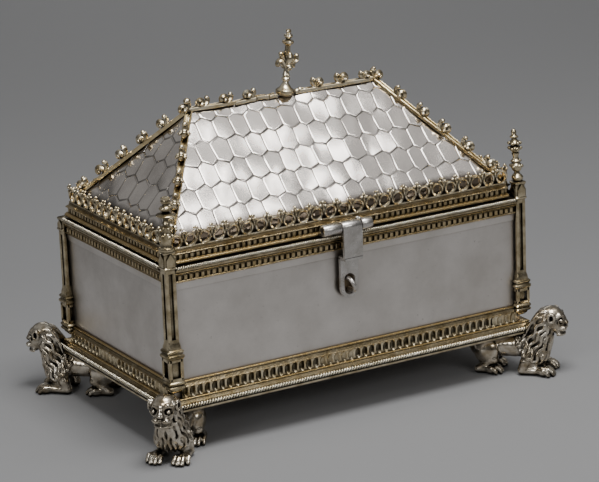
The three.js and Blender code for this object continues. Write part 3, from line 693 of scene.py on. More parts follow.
def crest_trim(side):
    plane, room = plane_and_half(side, LID_HALF_X)
    room -= 2.6
    place = side_place(side, plane - CREST_IN, LID_X)
    pitch, count = RINGS[is_long(side)]
    rail = [(-0.9, -0.3), (0.75, -0.3), (0.85, 0), (0.6, 0.45), (-0.6, 0.45), (-0.9, 0)]
    cove = [(0.5, 0), (0.5, 0.35), (-0.4, 0.75), (-1.3, 1.4), (-2.2, 1.5), (-2.2, 0)]
    rail, cove = [[(out, CREST_Z + z) for out, z in profile] for profile in (rail, cove)]
    piece = Piece().add(run(rail, room), place)
    # The cove behind the rings is coloured as painted shade.
    Piece().add(run(cove, room - 0.5), place).finish(f"crest_ledge_{side}", SHADE_LEDGE)
    for i in range(count):
        x = (i + 0.5 - count / 2) * pitch
        piece.add(ring_shell(x, CREST_MIDDLE + rng.normal(0, 0.07), i), place)
        if rng.random() < 0.6:
            spot = (x + rng.normal(0, 1.2), 0.75, CREST_Z + 0.35)
            piece.add(ball(spot, np.array([0.5, 0.35, 0.35]) * (1 + rng.normal(0, 0.15)), 8, 4), place)
    for i in range(count + 1):
        x = (i - count / 2) * pitch
        if abs(x) <= room:
            crest_flower(piece, place, x)
    piece.finish(f"crest_trim_{side}", CREST, f"cresting_{side}")


# Crockets, on strips along the hips and the ridge
# Each part of a leaf: its path, with x down the slope, its first and last radius, and its end ball
LEAF_PARTS = [
    ([(0.3, 0, 0.0), (-0.4, 0, 0.9), (-1.3, 0, 1.9), (-1.7, 0, 2.9), (-1.3, 0, 3.7)], (1.2, 0.85), 0.95),
    ([(0, 0, 0.4), (0.5, 0, 1.9), (1.3, 0, 2.9), (2.3, 0, 2.9), (2.9, 0, 2.0), (2.6, 0, 1.4)],
     (1.1, 0.9), 0.95),
    ([(0.4, 0.4, 0.8), (1.1, 1.3, 2.0), (1.8, 1.7, 1.6)], (0.75, 0.65), 0.75),
    ([(0.4, -0.4, 0.8), (1.1, -1.3, 2.0), (1.8, -1.7, 1.6)], (0.75, 0.65), 0.75),
]


def crocket(piece, x, z, place, size=1.0, back=False):
    """A low leaf with a finger up the slope, a large lobe curling down it and one each side."""
    scale = size * (1 + rng.normal(0, 0.06)) * np.array([-1 if back else 1, 1, 1])
    foot = np.array([x, 0, z])
    piece.add(ball(foot + (0, 0, 0.3), np.abs(scale) * (2.3, 1.15, 0.8), 12, 6), place)
    for points, radii, end in LEAF_PARTS:
        points = np.array(points) + rng.normal(0, 0.12, 3) * np.linspace(0, 1, len(points))[:, None]
        path = smooth_path(points, 3) * scale + foot
        piece.add(tube(path, np.linspace(*radii, len(path)) * size, 8, flat=1.15), place)
        piece.add(ball(path[-1], np.array([1.0, 1.1, 0.95]) * end * size, 10, 6), place)


STRIP = [(-1.3, 0.1), (1.3, 0.1), (1.5, 0.9), (1.48, 1.4), (1.22, 1.62), (0.95, 1.4), (0.8, 0.5), (0.0, 0.3),
         (-0.8, 0.5), (-0.95, 1.4), (-1.22, 1.62), (-1.48, 1.4), (-1.5, 0.9)]


def strip_between(x0, x1, wave):
    """A grooved strip along X that waves a little from side to side."""
    steps = max(2, int(abs(x1 - x0) / 3))
    rings = []
    for i in range(steps + 1):
        drift = wave * math.sin(i * 1.7)
        rings.append([(x0 + (x1 - x0) * i / steps, y + drift, z + 0.3 * drift) for y, z in STRIP])
    return loft(rings)


HIP_CROCKETS = 5
HIP_PITCH = 11.5


def hip_crest(name):
    sx, sy = CORNERS[name]
    top = ridge_end(sx)
    way = eaves_corner(sx, sy) - top
    along = unit(way)
    across = unit(np.cross((0, 0, 1.0), along))
    axes = np.array([along, across, np.cross(along, across)])
    place = lambda p: top + p @ axes
    strip = Piece().add(strip_between(0.6, np.linalg.norm(way) - 2.0, 0.07), place)
    strip.finish(f"hip_strip_{name}", EDGING)
    piece = Piece()
    for i in range(1, HIP_CROCKETS + 1):
        crocket(piece, i * HIP_PITCH - 0.4 + rng.normal(0, 0.25), 1.2, place)
    piece.finish(f"hip_trim_{name}", CREST, f"hip_crest_{name}")


CROSS_X = -1.0
CROSS_GAP = 4.2  # from the cross to the strips on each side of it
CROSS_LEAN = 0.115
END_LEAN = 0.45  # of the crockets at the ridge's ends
STRIP_HALF = RIDGE_HALF + 0.4
# Along X: where the crockets stand, the lumps as place and size, and the strip's lengths with their slopes
RIDGE_HALVES = {
    "left": {"sign": -1, "leaves": (-37.5, -26.9, -16.5),
             "lumps": [(-6.6, -0.4, 0.7, 1.0), (-11.8, 0.4, 0.8, 1.1)], "wave": 0.14,
             "lengths": [(CROSS_X - CROSS_GAP, -8.6, 0.05), (-9.1, -14.2, -0.06), (-14.8, -24.0, 0.03),
                         (-24.3, RIDGE_X - STRIP_HALF, -0.01)]},
    "right": {"sign": 1, "leaves": (35.6, 24.4, 13.3),
              "lumps": [(4.4, -0.5, 1.2, 1.3), (6.2, 0.2, 1.5, 1.2), (8.0, -0.3, 1.1, 1.0)], "wave": 0.08,
              "lengths": [(CROSS_X + CROSS_GAP, RIDGE_X + STRIP_HALF, 0.0)]},
}


def ridge_crest(name):
    """Half of the ridge: whole on the right, bent and broken in short lengths on the left."""
    spec = RIDGE_HALVES[name]
    sx = spec["sign"]
    place = lambda p: p + (0, 0, RIDGE_Z)
    piece = Piece()
    for first, last, slope in spec["lengths"]:
        bend = lambda p: place(p + np.outer(p[:, 0] - first, (0, 0.5 * slope, slope)))
        piece.add(strip_between(first, last, spec["wave"]), bend)
    for x, y, z, size in spec["lumps"]:
        piece.add(ball((x, y, z), (1.3 * size, 0.9 * size, 0.8 * size), 10, 6), place)
    for x in spec["leaves"]:
        crocket(piece, x, 1.1, place, 0.98, back=sx < 0)
    outer = spec["lengths"][-1][1]
    tilt = turned_by(-sx * END_LEAN, (0, 2))
    crocket(piece, 0, 0.7, lambda p: place(tilt(p)) + (outer - sx * 0.4, 0, 0), 0.98, back=sx < 0)
    if name == "left":
        piece.add(ball((outer - 0.6, -0.5, 4.6), (1.5, 1.4, 1.4), 12, 8), place)
    piece.finish(f"ridge_trim_{name}", CREST, f"ridge_crest_{name}")


CROSS_STEM = [(0, -0.7), (2.9, -0.7), (3.5, -0.4), (3.9, 0.5), (3.8, 1.5), (3.2, 2.1), (2.5, 2.5), (1.9, 3.4),
              (1.3, 4.3), (1.1, 5.0), (1.6, 5.4), (1.75, 6.1), (1.4, 6.7), (1.1, 6.9), (1.4, 7.3), (1.4, 7.8),
              (1.1, 8.3), (1.1, 9.6), (1.2, 17.0), (1.05, 19.3), (1.5, 19.7), (2.2, 20.2), (2.4, 20.8),
              (2.2, 21.3), (1.2, 21.7), (0.8, 22.0), (1.4, 22.4), (1.8, 23.1), (1.6, 23.7), (0.9, 24.1),
              (0.8, 24.4), (1.1, 24.9), (0.95, 25.6), (0.5, 25.9), (0.0, 26.0)]
# Leaves of the cross: heading in x and y, path as [reach, height], radii and end ball
CROSS_LEAVES = [
    (-1, 0, [(0.6, 11.2), (1.8, 12.8), (3.0, 13.4), (3.9, 12.8), (4.1, 11.9)], (1.2, 1.0), 1.1),
    (-1, 0, [(0.8, 12.8), (1.9, 14.6), (2.7, 15.3), (2.9, 16.0)], (1.1, 0.9), 1.0),
    (1, 0, [(0.6, 11.2), (1.9, 12.4), (3.4, 12.8), (4.2, 13.6), (4.2, 15.0)], (1.2, 0.95), 1.05),
    (1, 0, [(0.8, 12.0), (2.0, 11.9), (3.0, 11.2)], (1.0, 0.8), 0.95),
]
for across in (-1, 1):
    CROSS_LEAVES.append((0, across, [(0.8, 11.2), (1.9, 12.6), (2.4, 14.4), (1.9, 15.8)], (1.1, 1.2), 1.15))
    CROSS_LEAVES.append((0, across, [(1.0, 12.0), (2.1, 11.4), (2.5, 10.6)], (0.95, 0.85), 0.95))


def ridge_cross():
    lean = turned_by(-CROSS_LEAN, (0, 2))
    place = lambda p: lean(p) + (CROSS_X, 0, RIDGE_Z + 0.8)
    piece = Piece().add(revolve(CROSS_STEM, 24), place)
    for z in (6.1, 7.5):
        piece.add(ball((0.2, -1.3, z), (0.75, 0.6, 0.65), 10, 6), place)
    for x, y, points, radii, end in CROSS_LEAVES:
        path = smooth_path([(x * r, y * r, z) for r, z in points])
        piece.add(tube(path, np.linspace(*radii, len(path)), 10, flat=1.3), place)
        piece.add(ball(path[-1], (end, end, end), 12, 8), place)
    piece.add(ball((0, 0, 13.6), (1.8, 1.6, 2.2), 16, 10), place)
    piece.finish("cross", CREST, "ridge_cross")


# Corner posts, as [half width, height] rows: the foot, then from the ring, from the head and from the top
POST_FOOT = [(0.6, 24.4), (1.7, 24.6), (2.4, 25.4), (2.6, 26.2), (3.3, 26.5), (3.55, 27.0), (3.3, 27.5),
             (3.0, 27.7), (3.4, 28.1), (3.6, 28.6), (3.3, 29.1), (3.0, 29.4), (3.1, 29.7), (3.1, 30.7)]
POST_RING = [(3.1, -3.4), (3.1, -2.4), (3.4, -2.1), (3.7, -1.5), (3.6, -0.9), (3.1, -0.5), (3.0, -0.2),
             (3.35, 0.1), (3.5, 0.6), (3.3, 1.1), (2.8, 1.4), (2.7, 2.4), (2.45, 3.4), (2.3, 4.4), (2.2, 5.2)]
POST_HEAD = [(2.2, -1.8), (2.25, -0.4), (2.7, 0), (2.75, 0.5), (2.4, 0.9), (2.2, 1.2)]
POST_TOP = [(2.2, -1.4), (2.5, -1.0), (2.6, -0.3), (2.2, 0)]
CORE_CHAMFER = 0.2
BUMPS_PER_RING = 6
LEAN_OVER = 20  # the height over which a pinnacle leans by its own figures
PINNACLES = {
    "complete": {
        "profile": [(2.3, 81.4), (2.4, 82.2), (1.9, 82.9), (1.2, 83.6), (1.1, 84.4), (1.8, 84.9), (2.0, 85.4),
                    (2.3, 86.3), (2.3, 87.0), (1.8, 87.7), (1.5, 88.0), (1.8, 88.5), (1.9, 89.0), (1.4, 89.5),
                    (1.2, 89.8), (1.2, 90.8), (1.5, 91.5), (1.6, 91.9), (1.2, 92.3), (1.7, 92.8), (2.1, 93.6),
                    (2.3, 94.2), (1.8, 94.9), (1.3, 95.1), (2.0, 95.7), (2.2, 96.3), (1.7, 97.0), (1.1, 97.6),
                    (1.0, 98.1), (1.55, 98.5), (1.6, 98.9), (1.1, 99.3), (0.9, 99.8), (1.1, 100.6),
                    (0.85, 101.4), (0.3, 101.9), (0, 101.95)],
        "bumps": [(86.7, 2.0, 0.9), (88.8, 1.55, 0.7), (94.0, 2.1, 0.95), (96.1, 2.05, 0.9),
                  (98.7, 1.2, 0.55)],
        "lean": (-1.08, 0.62, 0),
    },
    "tip_lost": {
        "profile": [(3.1, 80.7), (3.2, 81.2), (3.1, 81.7), (2.4, 82.1), (2.1, 83.2), (2.2, 84.2), (2.5, 85.5),
                    (2.6, 86.2), (2.0, 87.2), (1.7, 88.0), (1.9, 89.2), (1.9, 89.9), (1.2, 90.4), (1.2, 90.8),
                    (1.5, 91.1), (1.4, 91.5), (1.1, 92.0), (1.1, 93.2), (1.8, 93.6), (3.6, 94.1), (3.8, 94.5),
                    (3.5, 94.8), (1.8, 95.2), (1.2, 95.7), (2.2, 96.3), (2.45, 97.0), (2.1, 97.6),
                    (1.2, 98.2), (1.1, 98.6), (1.7, 99.0), (1.9, 99.8), (1.7, 100.4), (1.9, 101.0),
                    (1.2, 101.4), (0, 101.1)],
        "bumps": [(86.2, 2.1, 0.95), (89.6, 1.6, 0.8), (97.0, 1.9, 0.7)],
        "lean": (0.42, -0.24, 0),
    },
}
# Heights of the ring, the head and the top, and the pinnacle
POSTS = {"front_left": (40.6, 73.6, 80.6, "tip_lost"), "front_right": (38.2, 73.4, 80.4, "complete"),
         "back_right": (39.4, 73.4, 80.4, "complete"), "back_left": (39.9, 68.4, 73.6, None)}


def raised(rows, base):
    """Rows of [half width, height] with their heights counted from a base."""
    return [(half, base + z) for half, z in rows]


def square_stack(rows, chamfer=0.45, centre=(0, 0)):
    """A square bar with its corners taken off, through rows of half width and height."""
    rings = []
    for half, z in rows:
        a, b = half, half - min(chamfer, half * 0.3)
        corners = ((a, -b), (a, b), (b, a), (-b, a), (-a, b), (-a, -b), (-b, -a), (b, -a))
        rings.append([(centre[0] + x, centre[1] + y, z) for x, y in corners])
    return loft(rings)


def pilasters(half, width, z0, z1):
    """Four corner pilasters; what is left open between them is a niche or groove on each face."""
    middle = half - width / 2
    return [square_stack([(width / 2, z0), (width / 2, z1)], 0.3, (sx * middle, sy * middle))
            for sx in (-1, 1) for sy in (-1, 1)]


def gable(half, out, z0, z1):
    """A small gabled hood on the face that looks along -y."""
    front = [(-half, z0), (half, z0), (half, (z0 + z1) / 2), (0, z1), (-half, (z0 + z1) / 2)]
    return loft([[(x * share, y, z) for x, z in front] for share, y in ((0.9, 0), (1, -out))])


def post(name):
    sx, sy = CORNERS[name]
    ring, head, top, pinnacle = POSTS[name]
    middle = np.array([sx * HALF_X, sy * HALF_Y, 0])
    place = lambda p: p + middle
    piece = Piece()
    shells = [square_stack(POST_FOOT), square_stack(raised(POST_RING, ring)),
              square_stack(raised(POST_HEAD, head) + raised(POST_TOP, top)),
              square_stack([(1.9, 30.0), (1.9, ring - 2.0)], CORE_CHAMFER),
              square_stack([(1.3, ring + 4), (1.3, head)], CORE_CHAMFER)]
    shells += pilasters(POST_HALF, 1.35, 30.0, ring - 2.2) + pilasters(2.2, 1.45, ring + 4.5, head - 1.2)
    for shell in shells:
        piece.add(shell, place)
    for i in range(4):
        turn = turned_by(i * math.pi / 2)
        piece.add(gable(1.75, 2.75, head + 0.9, top - 0.9), lambda p: place(turn(p)))
    if pinnacle:
        add_pinnacle(piece, PINNACLES[pinnacle], top, place)
    else:
        piece.add(square_stack([(1.9, top - 0.6), (1.7, top - 0.05)]), place)
    piece.finish(f"post_trim_{name}", POST, f"post_{name}")


def add_pinnacle(piece, spec, top, place):
    leaning = lambda p: place(p + np.outer((p[:, 2] - top) / LEAN_OVER, spec["lean"]))
    piece.add(revolve([(1.5, top - 0.4), *spec["profile"]]), leaning)
    for z, out, size in spec["bumps"]:
        for i in range(BUMPS_PER_RING):
            angle = i * 2 * math.pi / BUMPS_PER_RING + 0.4 + rng.normal(0, 0.1)
            centre = (out * math.cos(angle), out * math.sin(angle), z + rng.normal(0, 0.12))
            piece.add(ball(centre, (size, size, size * 0.85), 10, 6), leaning)


# Lions, modelled as a distance field on a grid and skinned
CELL = 0.27
LION_REACH = 15.6  # from a corner of the box, along its sides
FIELD_LOW = np.array([-23.6, -10.0, -0.9])
FIELD_HIGH = np.array([21.6, 0.4, 30.0])


class Field:
    """Half of a form that is the same left and right: y runs from the far side to the middle."""

    def __init__(self):
        counts = ((FIELD_HIGH - FIELD_LOW) / CELL).astype(int) + 1
        self.axes = [low + np.arange(count) * CELL for low, count in zip(FIELD_LOW, counts)]
        self.axes[1] -= self.axes[1][-2]
        self.values = np.full(counts, 9.0, np.float32)

    def blend(self, shape, low, high, soft, cut):
        """Adds a shape that lies between two corners, or cuts it away, with a soft seam."""
        cuts = []
        for axis, a, b in zip(self.axes, low - soft - 1, high + soft + 1):
            i, j = np.searchsorted(axis, [a, b])
            cuts.append(slice(max(i - 1, 0), min(j + 1, len(axis))))
        cuts = tuple(cuts)
        new = shape(np.meshgrid(*(axis[c] for axis, c in zip(self.axes, cuts)), indexing="ij", sparse=True))
        sign = -1 if cut else 1
        old = sign * self.values[cuts]
        share = np.clip(0.5 + 0.5 * (new - old) / soft, 0, 1)
        self.values[cuts] = sign * (new * (1 - share) + old * share - soft * share * (1 - share))

    def ellipsoid(self, centre, radii, soft=1.0, cut=False):
        centre, radii = np.array(centre, float), np.array(radii, float)

        def shape(grid):
            parts = [(places - c) / r for places, c, r in zip(grid, centre, radii)]
            a = np.sqrt(sum(part ** 2 for part in parts))
            b = np.sqrt(sum((part / r) ** 2 for part, r in zip(parts, radii)))
            return a * (a - 1) / np.maximum(b, 1e-6)

        self.blend(shape, centre - radii, centre + radii, soft, cut)

    def cone(self, a, b, ra, rb, soft=0.6, cut=False):
        a, b = np.array(a, float), np.array(b, float)
        way = b - a

        def shape(grid):
            parts = [places - c for places, c in zip(grid, a)]
            t = np.clip(sum(part * w for part, w in zip(parts, way)) / (way @ way), 0, 1)
            return np.sqrt(sum((part - t * w) ** 2 for part, w in zip(parts, way))) - (ra + t * (rb - ra))

        reach = max(ra, rb)
        self.blend(shape, np.minimum(a, b) - reach, np.maximum(a, b) + reach, soft, cut)

    def chain(self, points, radii, soft=0.3, cut=False):
        radii = np.broadcast_to(radii, len(points))
        for a, b, ra, rb in zip(points, points[1:], radii, radii[1:]):
            self.cone(a, b, ra, rb, soft, cut)

    def side_of(self, x, z):
        """The outermost y inside the form at a place in the side view, if there is one."""
        i, k = np.searchsorted(self.axes[0], x), np.searchsorted(self.axes[2], z)
        inside = np.nonzero(self.values[i, :, k] < 0)[0]
        return self.axes[1][inside[0]] if len(inside) else None

    def front_of(self, y, z):
        """The foremost x inside the form at a place in the front view, if there is one."""
        j, k = np.searchsorted(self.axes[1], y), np.searchsorted(self.axes[2], z)
        inside = np.nonzero(self.values[:, j, k] < 0)[0]
        return self.axes[0][inside[-1]] if len(inside) else None


def relaxed(verts, quads, rounds=2):
    """Points drawn halfway to the middle of their neighbours, which clears the grid's steps."""
    ends = np.concatenate([quads[:, [i, (i + step) % 4]] for i in range(4) for step in (1, -1)])
    count = np.bincount(ends[:, 0])[:, None]
    for _ in range(rounds):
        total = np.stack([np.bincount(ends[:, 0], axis[ends[:, 1]]) for axis in verts.T], -1)
        verts = (verts + total / count) / 2
    return verts


def skin(values, low):
    """Quads over the zero surface of a field, one point for each cell it passes through."""
    shape = np.array(values.shape) - 1
    total, count = np.zeros((*shape, 3)), np.zeros(shape)
    crossings = []
    for axis in range(3):
        a, b = np.delete(values, -1, axis), np.delete(values, 0, axis)
        crossed = (a < 0) != (b < 0)
        part = np.where(crossed, a / np.where(crossed, a - b, 1), 0)
        crossings.append((crossed, a < 0))
        u, v = (axis + 1) % 3, (axis + 2) % 3
        for du, dv in ((0, 0), (0, 1), (1, 0), (1, 1)):
            take = [slice(None)] * 3
            take[u], take[v] = slice(du, du + shape[u]), slice(dv, dv + shape[v])
            hit = crossed[tuple(take)]
            count += hit
            total[..., axis] += part[tuple(take)]
            total[..., u] += hit * du
            total[..., v] += hit * dv
    used = count > 0
    index = np.full(shape, -1)
    index[used] = np.arange(used.sum())
    verts = low + (np.argwhere(used) + total[used] / count[used][:, None]) * CELL
    faces = []
    for axis, (crossed, inside) in enumerate(crossings):
        u, v = (axis + 1) % 3, (axis + 2) % 3
        spots = np.argwhere(crossed)
        spots = spots[((spots[:, [u, v]] > 0) & (spots[:, [u, v]] < shape[[u, v]])).all(1)]
        corners = []
        for du, dv in ((-1, -1), (0, -1), (0, 0), (-1, 0)):
            spot = spots.copy()
            spot[:, [u, v]] += (du, dv)
            corners.append(index[tuple(spot.T)])
        quads = np.stack(corners, -1)
        flipped = ~inside[tuple(spots.T)]
        quads[flipped] = quads[flipped][:, ::-1]
        faces.append(quads)
    quads = np.concatenate(faces)
    return relaxed(verts, quads), quads


MANE = [((8.2, 0, 15.0), (4.9, 5.0, 6.4)), ((10.2, 0, 21.0), (4.3, 4.2, 5.1)),
        ((7.4, 0, 8.8), (4.5, 5.9, 4.8))]
# Locks in the side view, from behind the ear to the curls at their ends, as [x, z]
SIDE_LOCKS = [
    [(12.4, 27.2), (9.2, 26.4), (6.2, 23.6), (3.8, 20.2), (1.9, 17.2), (0.9, 15.4)],
    [(11.4, 25.4), (8.7, 23.8), (6.1, 20.8), (3.9, 17.6), (2.2, 15.0), (1.4, 13.3)],
    [(11.0, 23.2), (8.9, 21.2), (6.7, 18.2), (4.6, 15.2), (3.0, 12.8), (2.4, 11.3)],
    [(11.3, 21.2), (9.7, 18.8), (7.8, 16.0), (5.9, 13.2), (4.5, 11.0), (3.9, 9.6)],
    [(12.2, 20.0), (10.9, 17.4), (9.2, 14.4), (7.5, 11.7), (6.2, 9.7), (5.6, 8.3)],
    [(13.3, 19.0), (12.2, 16.4), (10.8, 13.4), (9.3, 10.6), (8.1, 8.5), (7.5, 7.1)],
    [(14.2, 17.6), (13.3, 15.0), (12.2, 12.0), (11.0, 9.3), (10.0, 7.2), (9.5, 6.0)],
]
RIBS = (-8.2, -0.2, 5)  # places along the flank, and how many
LOCK_CURL = [(-0.4, -0.9), (-1.2, -1.2), (-1.8, -0.7), (-1.7, 0.1)]
CHEST_LOCKS = (-0.8, -2.45, -4.1)
BACK_LOCKS = (-0.9, -2.6)


def waved(points, size, phase):
    """A rounded path through points of a plane, swaying to each side by size."""
    path = smooth_path(points, 5)
    along = np.concatenate([[0], np.cumsum(np.linalg.norm(np.diff(path, axis=0), axis=1))])
    way = np.gradient(path, axis=0)
    way /= np.linalg.norm(way, axis=1)[:, None]
    sway = size * np.sin(along + phase) * np.minimum(1, along / 2)
    return path + sway[:, None] * np.column_stack([-way[:, 1], way[:, 0]])


def lion_body(field):
    field.ellipsoid((-15.0, 0, 11.0), (6.2, 5.0, 5.6), 0.5)
    field.cone((-15, 0, 11), (2, 0, 11.4), 4.9, 5.1, 1.5)
    for centre, radii in MANE:
        field.ellipsoid(centre, radii, 1.5)
    for x in np.linspace(*RIBS):
        rib = [(x, -4.7, 14.4), (x + 0.4, -5.35, 12.0), (x + 0.2, -5.1, 9.4), (x - 0.5, -4.1, 7.4)]
        field.chain(smooth_path(rib, 2), 0.32, 0.3, cut=True)


def eye(field):
    middle = np.array([17.0, -2.95, 22.9])
    field.ellipsoid(middle + (0.8, -0.1, 0.05), (1.8, 1.55, 1.4), 0.3, cut=True)
    field.ellipsoid(middle + (0.15, 0, 0), (1.3, 0.95, 0.9), 0.05)
    lids = []
    for angle in np.linspace(math.pi, 2 * math.pi, 7):
        side, lift = 1.8 * math.cos(angle), 1.6 * math.sin(angle)
        lids.append(middle + (0.3 + side * 0.42, side * 0.9, lift))
    field.chain(lids, 0.34, 0.2)


def lion_head(field):
    field.ellipsoid((13.0, 0, 23.7), (4.9, 4.8, 4.7), 0.6)
    field.ellipsoid((15.0, 0, 21.6), (3.5, 4.2, 4.2), 0.8)
    field.ellipsoid((16.3, 0, 18.9), (2.4, 3.3, 2.6), 0.7)
    field.chain([(17.3, -0.7, 24.9), (16.7, -2.5, 25.0), (15.4, -4.0, 24.2)], [0.8, 0.85, 0.6], 0.8)
    eye(field)
    field.chain([(17.0, 0, 25.0), (18.0, 0, 23.6), (18.5, 0, 22.2)], [1.0, 0.9, 1.1], 0.6)
    field.ellipsoid((19.0, 0, 21.6), (1.0, 1.5, 0.9), 0.3)
    field.ellipsoid((18.0, -1.75, 19.55), (1.6, 1.8, 1.3), 0.3)
    under_nose = [(19.6, 0, 20.35), (19.3, -0.9, 20.45), (18.8, -1.8, 20.95), (18.2, -2.6, 21.4)]
    field.chain(smooth_path(under_nose, 3), 0.42, 0.12, cut=True)
    field.chain([(19.6, 0, 20.4), (19.3, 0, 18.6)], 0.42, 0.12, cut=True)
    mouth = [(18.95, 0.2, 18.1), (18.6, -1.4, 17.9), (17.6, -2.8, 17.95), (16.1, -3.8, 18.7)]
    field.chain(smooth_path(mouth, 3), 0.62, 0.12, cut=True)
    low = [(18.4, 0.1, 17.05), (18.0, -1.2, 16.95), (17.2, -2.2, 16.95), (16.0, -3.0, 17.1)]
    field.chain(smooth_path(low, 3), 0.6, 0.25)
    field.ellipsoid((13.8, -4.5, 24.6), (1.6, 1.0, 2.1), 0.3)
    ear = [(13.8 + 1.25 * x, -5.7 + 0.3 * x, 24.6 + 1.75 * z) for x, z in circle(12)]
    field.chain([*ear, ear[0]], 0.62, 0.08)
    field.ellipsoid((13.85, -6.1, 24.6), (0.65, 1.6, 1.1), 0.08, cut=True)


def settled(values):
    """Running means, so that a lock laid on the grid's steps comes out smooth."""
    return np.convolve(np.pad(values, 3, mode="edge"), np.ones(7) / 7, "valid")


def lion_mane(field):
    """Locks laid on the mane's mass; all paths are found before the first lock is added."""
    locks = []
    for lock in SIDE_LOCKS:
        flat = np.vstack([waved(lock, 0.55, 0.4), smooth_path(np.array(lock[-1]) + LOCK_CURL, 2)])
        points = np.array([(x, y - 0.3, z) for x, z in flat for y in [field.side_of(x, z)] if y is not None])
        points[:, 1] = settled(points[:, 1])
        locks.append((points, 0.9, 0.66))
    for y0 in CHEST_LOCKS:
        flat = waved([(y0 * 0.9, 16.4), (y0, 12.6), (y0 * 1.05, 9.4), (y0, 6.4), (y0 * 0.8, 4.4)], 0.34, 0.5)
        points = np.array([(x + 0.25, y, z) for y, z in flat for x in [field.front_of(y, z)]
                           if x is not None and x > 7])
        points[:, 0] = settled(points[:, 0])
        locks.append((points, 0.84, 0.6))
    for y0 in BACK_LOCKS:
        back = [(10.8, y0, 26.5), (8.6, y0 - 0.1, 25.6), (5.3, y0 - 0.4, 21.6), (3.5, y0 - 0.8, 18.4),
                (1.9, y0 - 1.2, 15.6)]
        locks.append((smooth_path(back, 3), 0.85, 0.7))
    for points, first, last in locks:
        field.chain(points, np.linspace(first, last, len(points)), 0.05)


def paw(field, x, y, spread, radius):
    """A paw with four long toes, and the foot behind them."""
    field.ellipsoid((x - 4.7, y, 1.6), (2.8, spread + 0.5, 1.9), 0.4)
    for share, back in ((1, 0.7), (0.34, 0.0), (-0.34, 0.2), (-1, 1.9)):
        side, tip = y + share * spread, x - back - radius
        toe = [(tip - 4.4, y + share * spread * 0.6, 2.7), (tip - 1.9, y + share * spread * 0.95, 2.75),
               (tip - 0.5, side, 2.0), (tip, side, 1.0)]
        field.chain(toe, [radius * 0.8, radius * 1.08, radius * 0.92, radius], 0.04)


def lion_legs(field):
    y = -5.3
    field.ellipsoid((4.2, -4.2, 8.8), (3.4, 2.6, 3.6), 0.8)
    field.chain([(4.4, -4.6, 8.4), (2.9, y, 5.4), (1.7, y, 2.2)], [2.4, 2.2, 1.95], 0.4)
    field.ellipsoid((5.2, -4.4, 5.0), (3.2, 1.9, 3.8), 0.6)
    field.chain([(1.8, y, 1.9), (7.0, y, 2.0), (11.0, y, 2.0)], [2.0, 1.9, 1.95], 0.4)
    paw(field, 15.55, y, 2.62, 0.95)
    field.ellipsoid((-13.0, -4.5, 9.2), (5.2, 3.3, 5.6), 0.7)
    field.chain([(-10.2, -5.2, 6.2), (-13.4, y, 3.8), (-16.2, y, 2.0)], [2.2, 1.8, 1.7], 0.4)
    field.chain([(-16.5, y, 1.7), (-10.6, y, 1.8)], [1.7, 1.8], 0.4)
    paw(field, -5.95, y, 2.45, 0.88)


def lion_mesh():
    """Skins the whole lion, cut flat below, fitted to the corner of the base and to its reach."""
    field = Field()
    for shape in (lion_body, lion_legs, lion_mane, lion_head):
        shape(field)
    half = field.values[:, :-1]
    values = np.concatenate([half, half[:, -2::-1]], axis=1)
    xs, ys, zs = field.axes
    ys = ys[0] + np.arange(values.shape[1]) * CELL
    x, y, z = np.meshgrid(xs, ys, zs, indexing="ij", sparse=True)
    out = (x + np.abs(y)) / math.sqrt(2)
    seat = np.maximum(out - BASE_OUT - 0.3, BASE_Z - 0.3 - z)
    for limit in (-seat, -z, out - LION_REACH):
        values = np.maximum(values, limit)
    return skin(values, (xs[0], ys[0], zs[0]))


def lion(name, shell):
    sx, sy = CORNERS[name]
    turn = turned_by(math.atan2(sy, sx))
    piece = Piece().add(shell, lambda p: turn(p) + (sx * HALF_X, sy * HALF_Y, 0))
    piece.finish(f"lion_cast_{name}", CAST, f"lion_{name}", sharp=70.0)


# Hasp, hinge and staple
BARREL_RADIUS = 2.25
BORE_RADIUS = 1.25
BARREL_LIP = 0.25
PIN_RADIUS = 0.88
STAPLE_WIRE = 0.86
HASP_LOW, HASP_HIGH = corners_mm("hasp")
STRAP_Z = 64.8
PLATE_Y = -45.6
SLOT_HALF = 2.3
SLOT_ENDS = (51.6, 55.4)  # heights of the middles of its round ends
SHEET = 1.2


def pipe(x0, x1, sides=28):
    """A hinge barrel: a pipe along X with rounded lips."""
    inner = BARREL_RADIUS - BARREL_LIP
    rows = [(x0, BORE_RADIUS), (x0, inner), (x0 + BARREL_LIP, BARREL_RADIUS),
            (x1 - BARREL_LIP, BARREL_RADIUS), (x1, inner), (x1, BORE_RADIUS)]
    return loft([np.column_stack([np.full(sides, x), HINGE[1:] + r * circle(sides)]) for x, r in rows],
                closed=True)


def slab(outline, y0, y1, holes=(), bevel=0.15):
    """A plate with softened edges, made from an outline of [x, z] points and holes in it."""
    made = bmesh.new()
    edges = []
    for loop in (outline, *holes):
        verts = [made.verts.new((x, 0, z)) for x, z in loop]
        edges += [made.edges.new(pair) for pair in zip(verts, verts[1:] + verts[:1])]
    bmesh.ops.triangle_fill(made, use_beauty=True, edges=edges)
    top = bmesh.ops.extrude_face_region(made, geom=list(made.faces))
    for item in top["geom"]:
        if isinstance(item, bmesh.types.BMVert):
            item.co.y = y1 - y0
    bmesh.ops.recalc_face_normals(made, faces=made.faces)
    rim = [e for e in made.edges if len(e.link_faces) == 2 and e.calc_face_angle(0) > 1.2]
    bmesh.ops.bevel(made, geom=rim, offset=bevel, segments=2, affect="EDGES", clamp_overlap=True)
    verts, faces = shell_of(made)
    return verts + (0, y0, 0), faces


def rectangle(x0, x1, z0, z1):
    return [(x0, z0), (x1, z0), (x1, z1), (x0, z1)]


def half_round(half, z, first, steps=14):
    """Half a turn about a point on the hasp's middle line, from an angle on."""
    return [(HINGE[0] + half * math.cos(a), z + half * math.sin(a))
            for a in np.linspace(first, first + math.pi, steps + 1)]


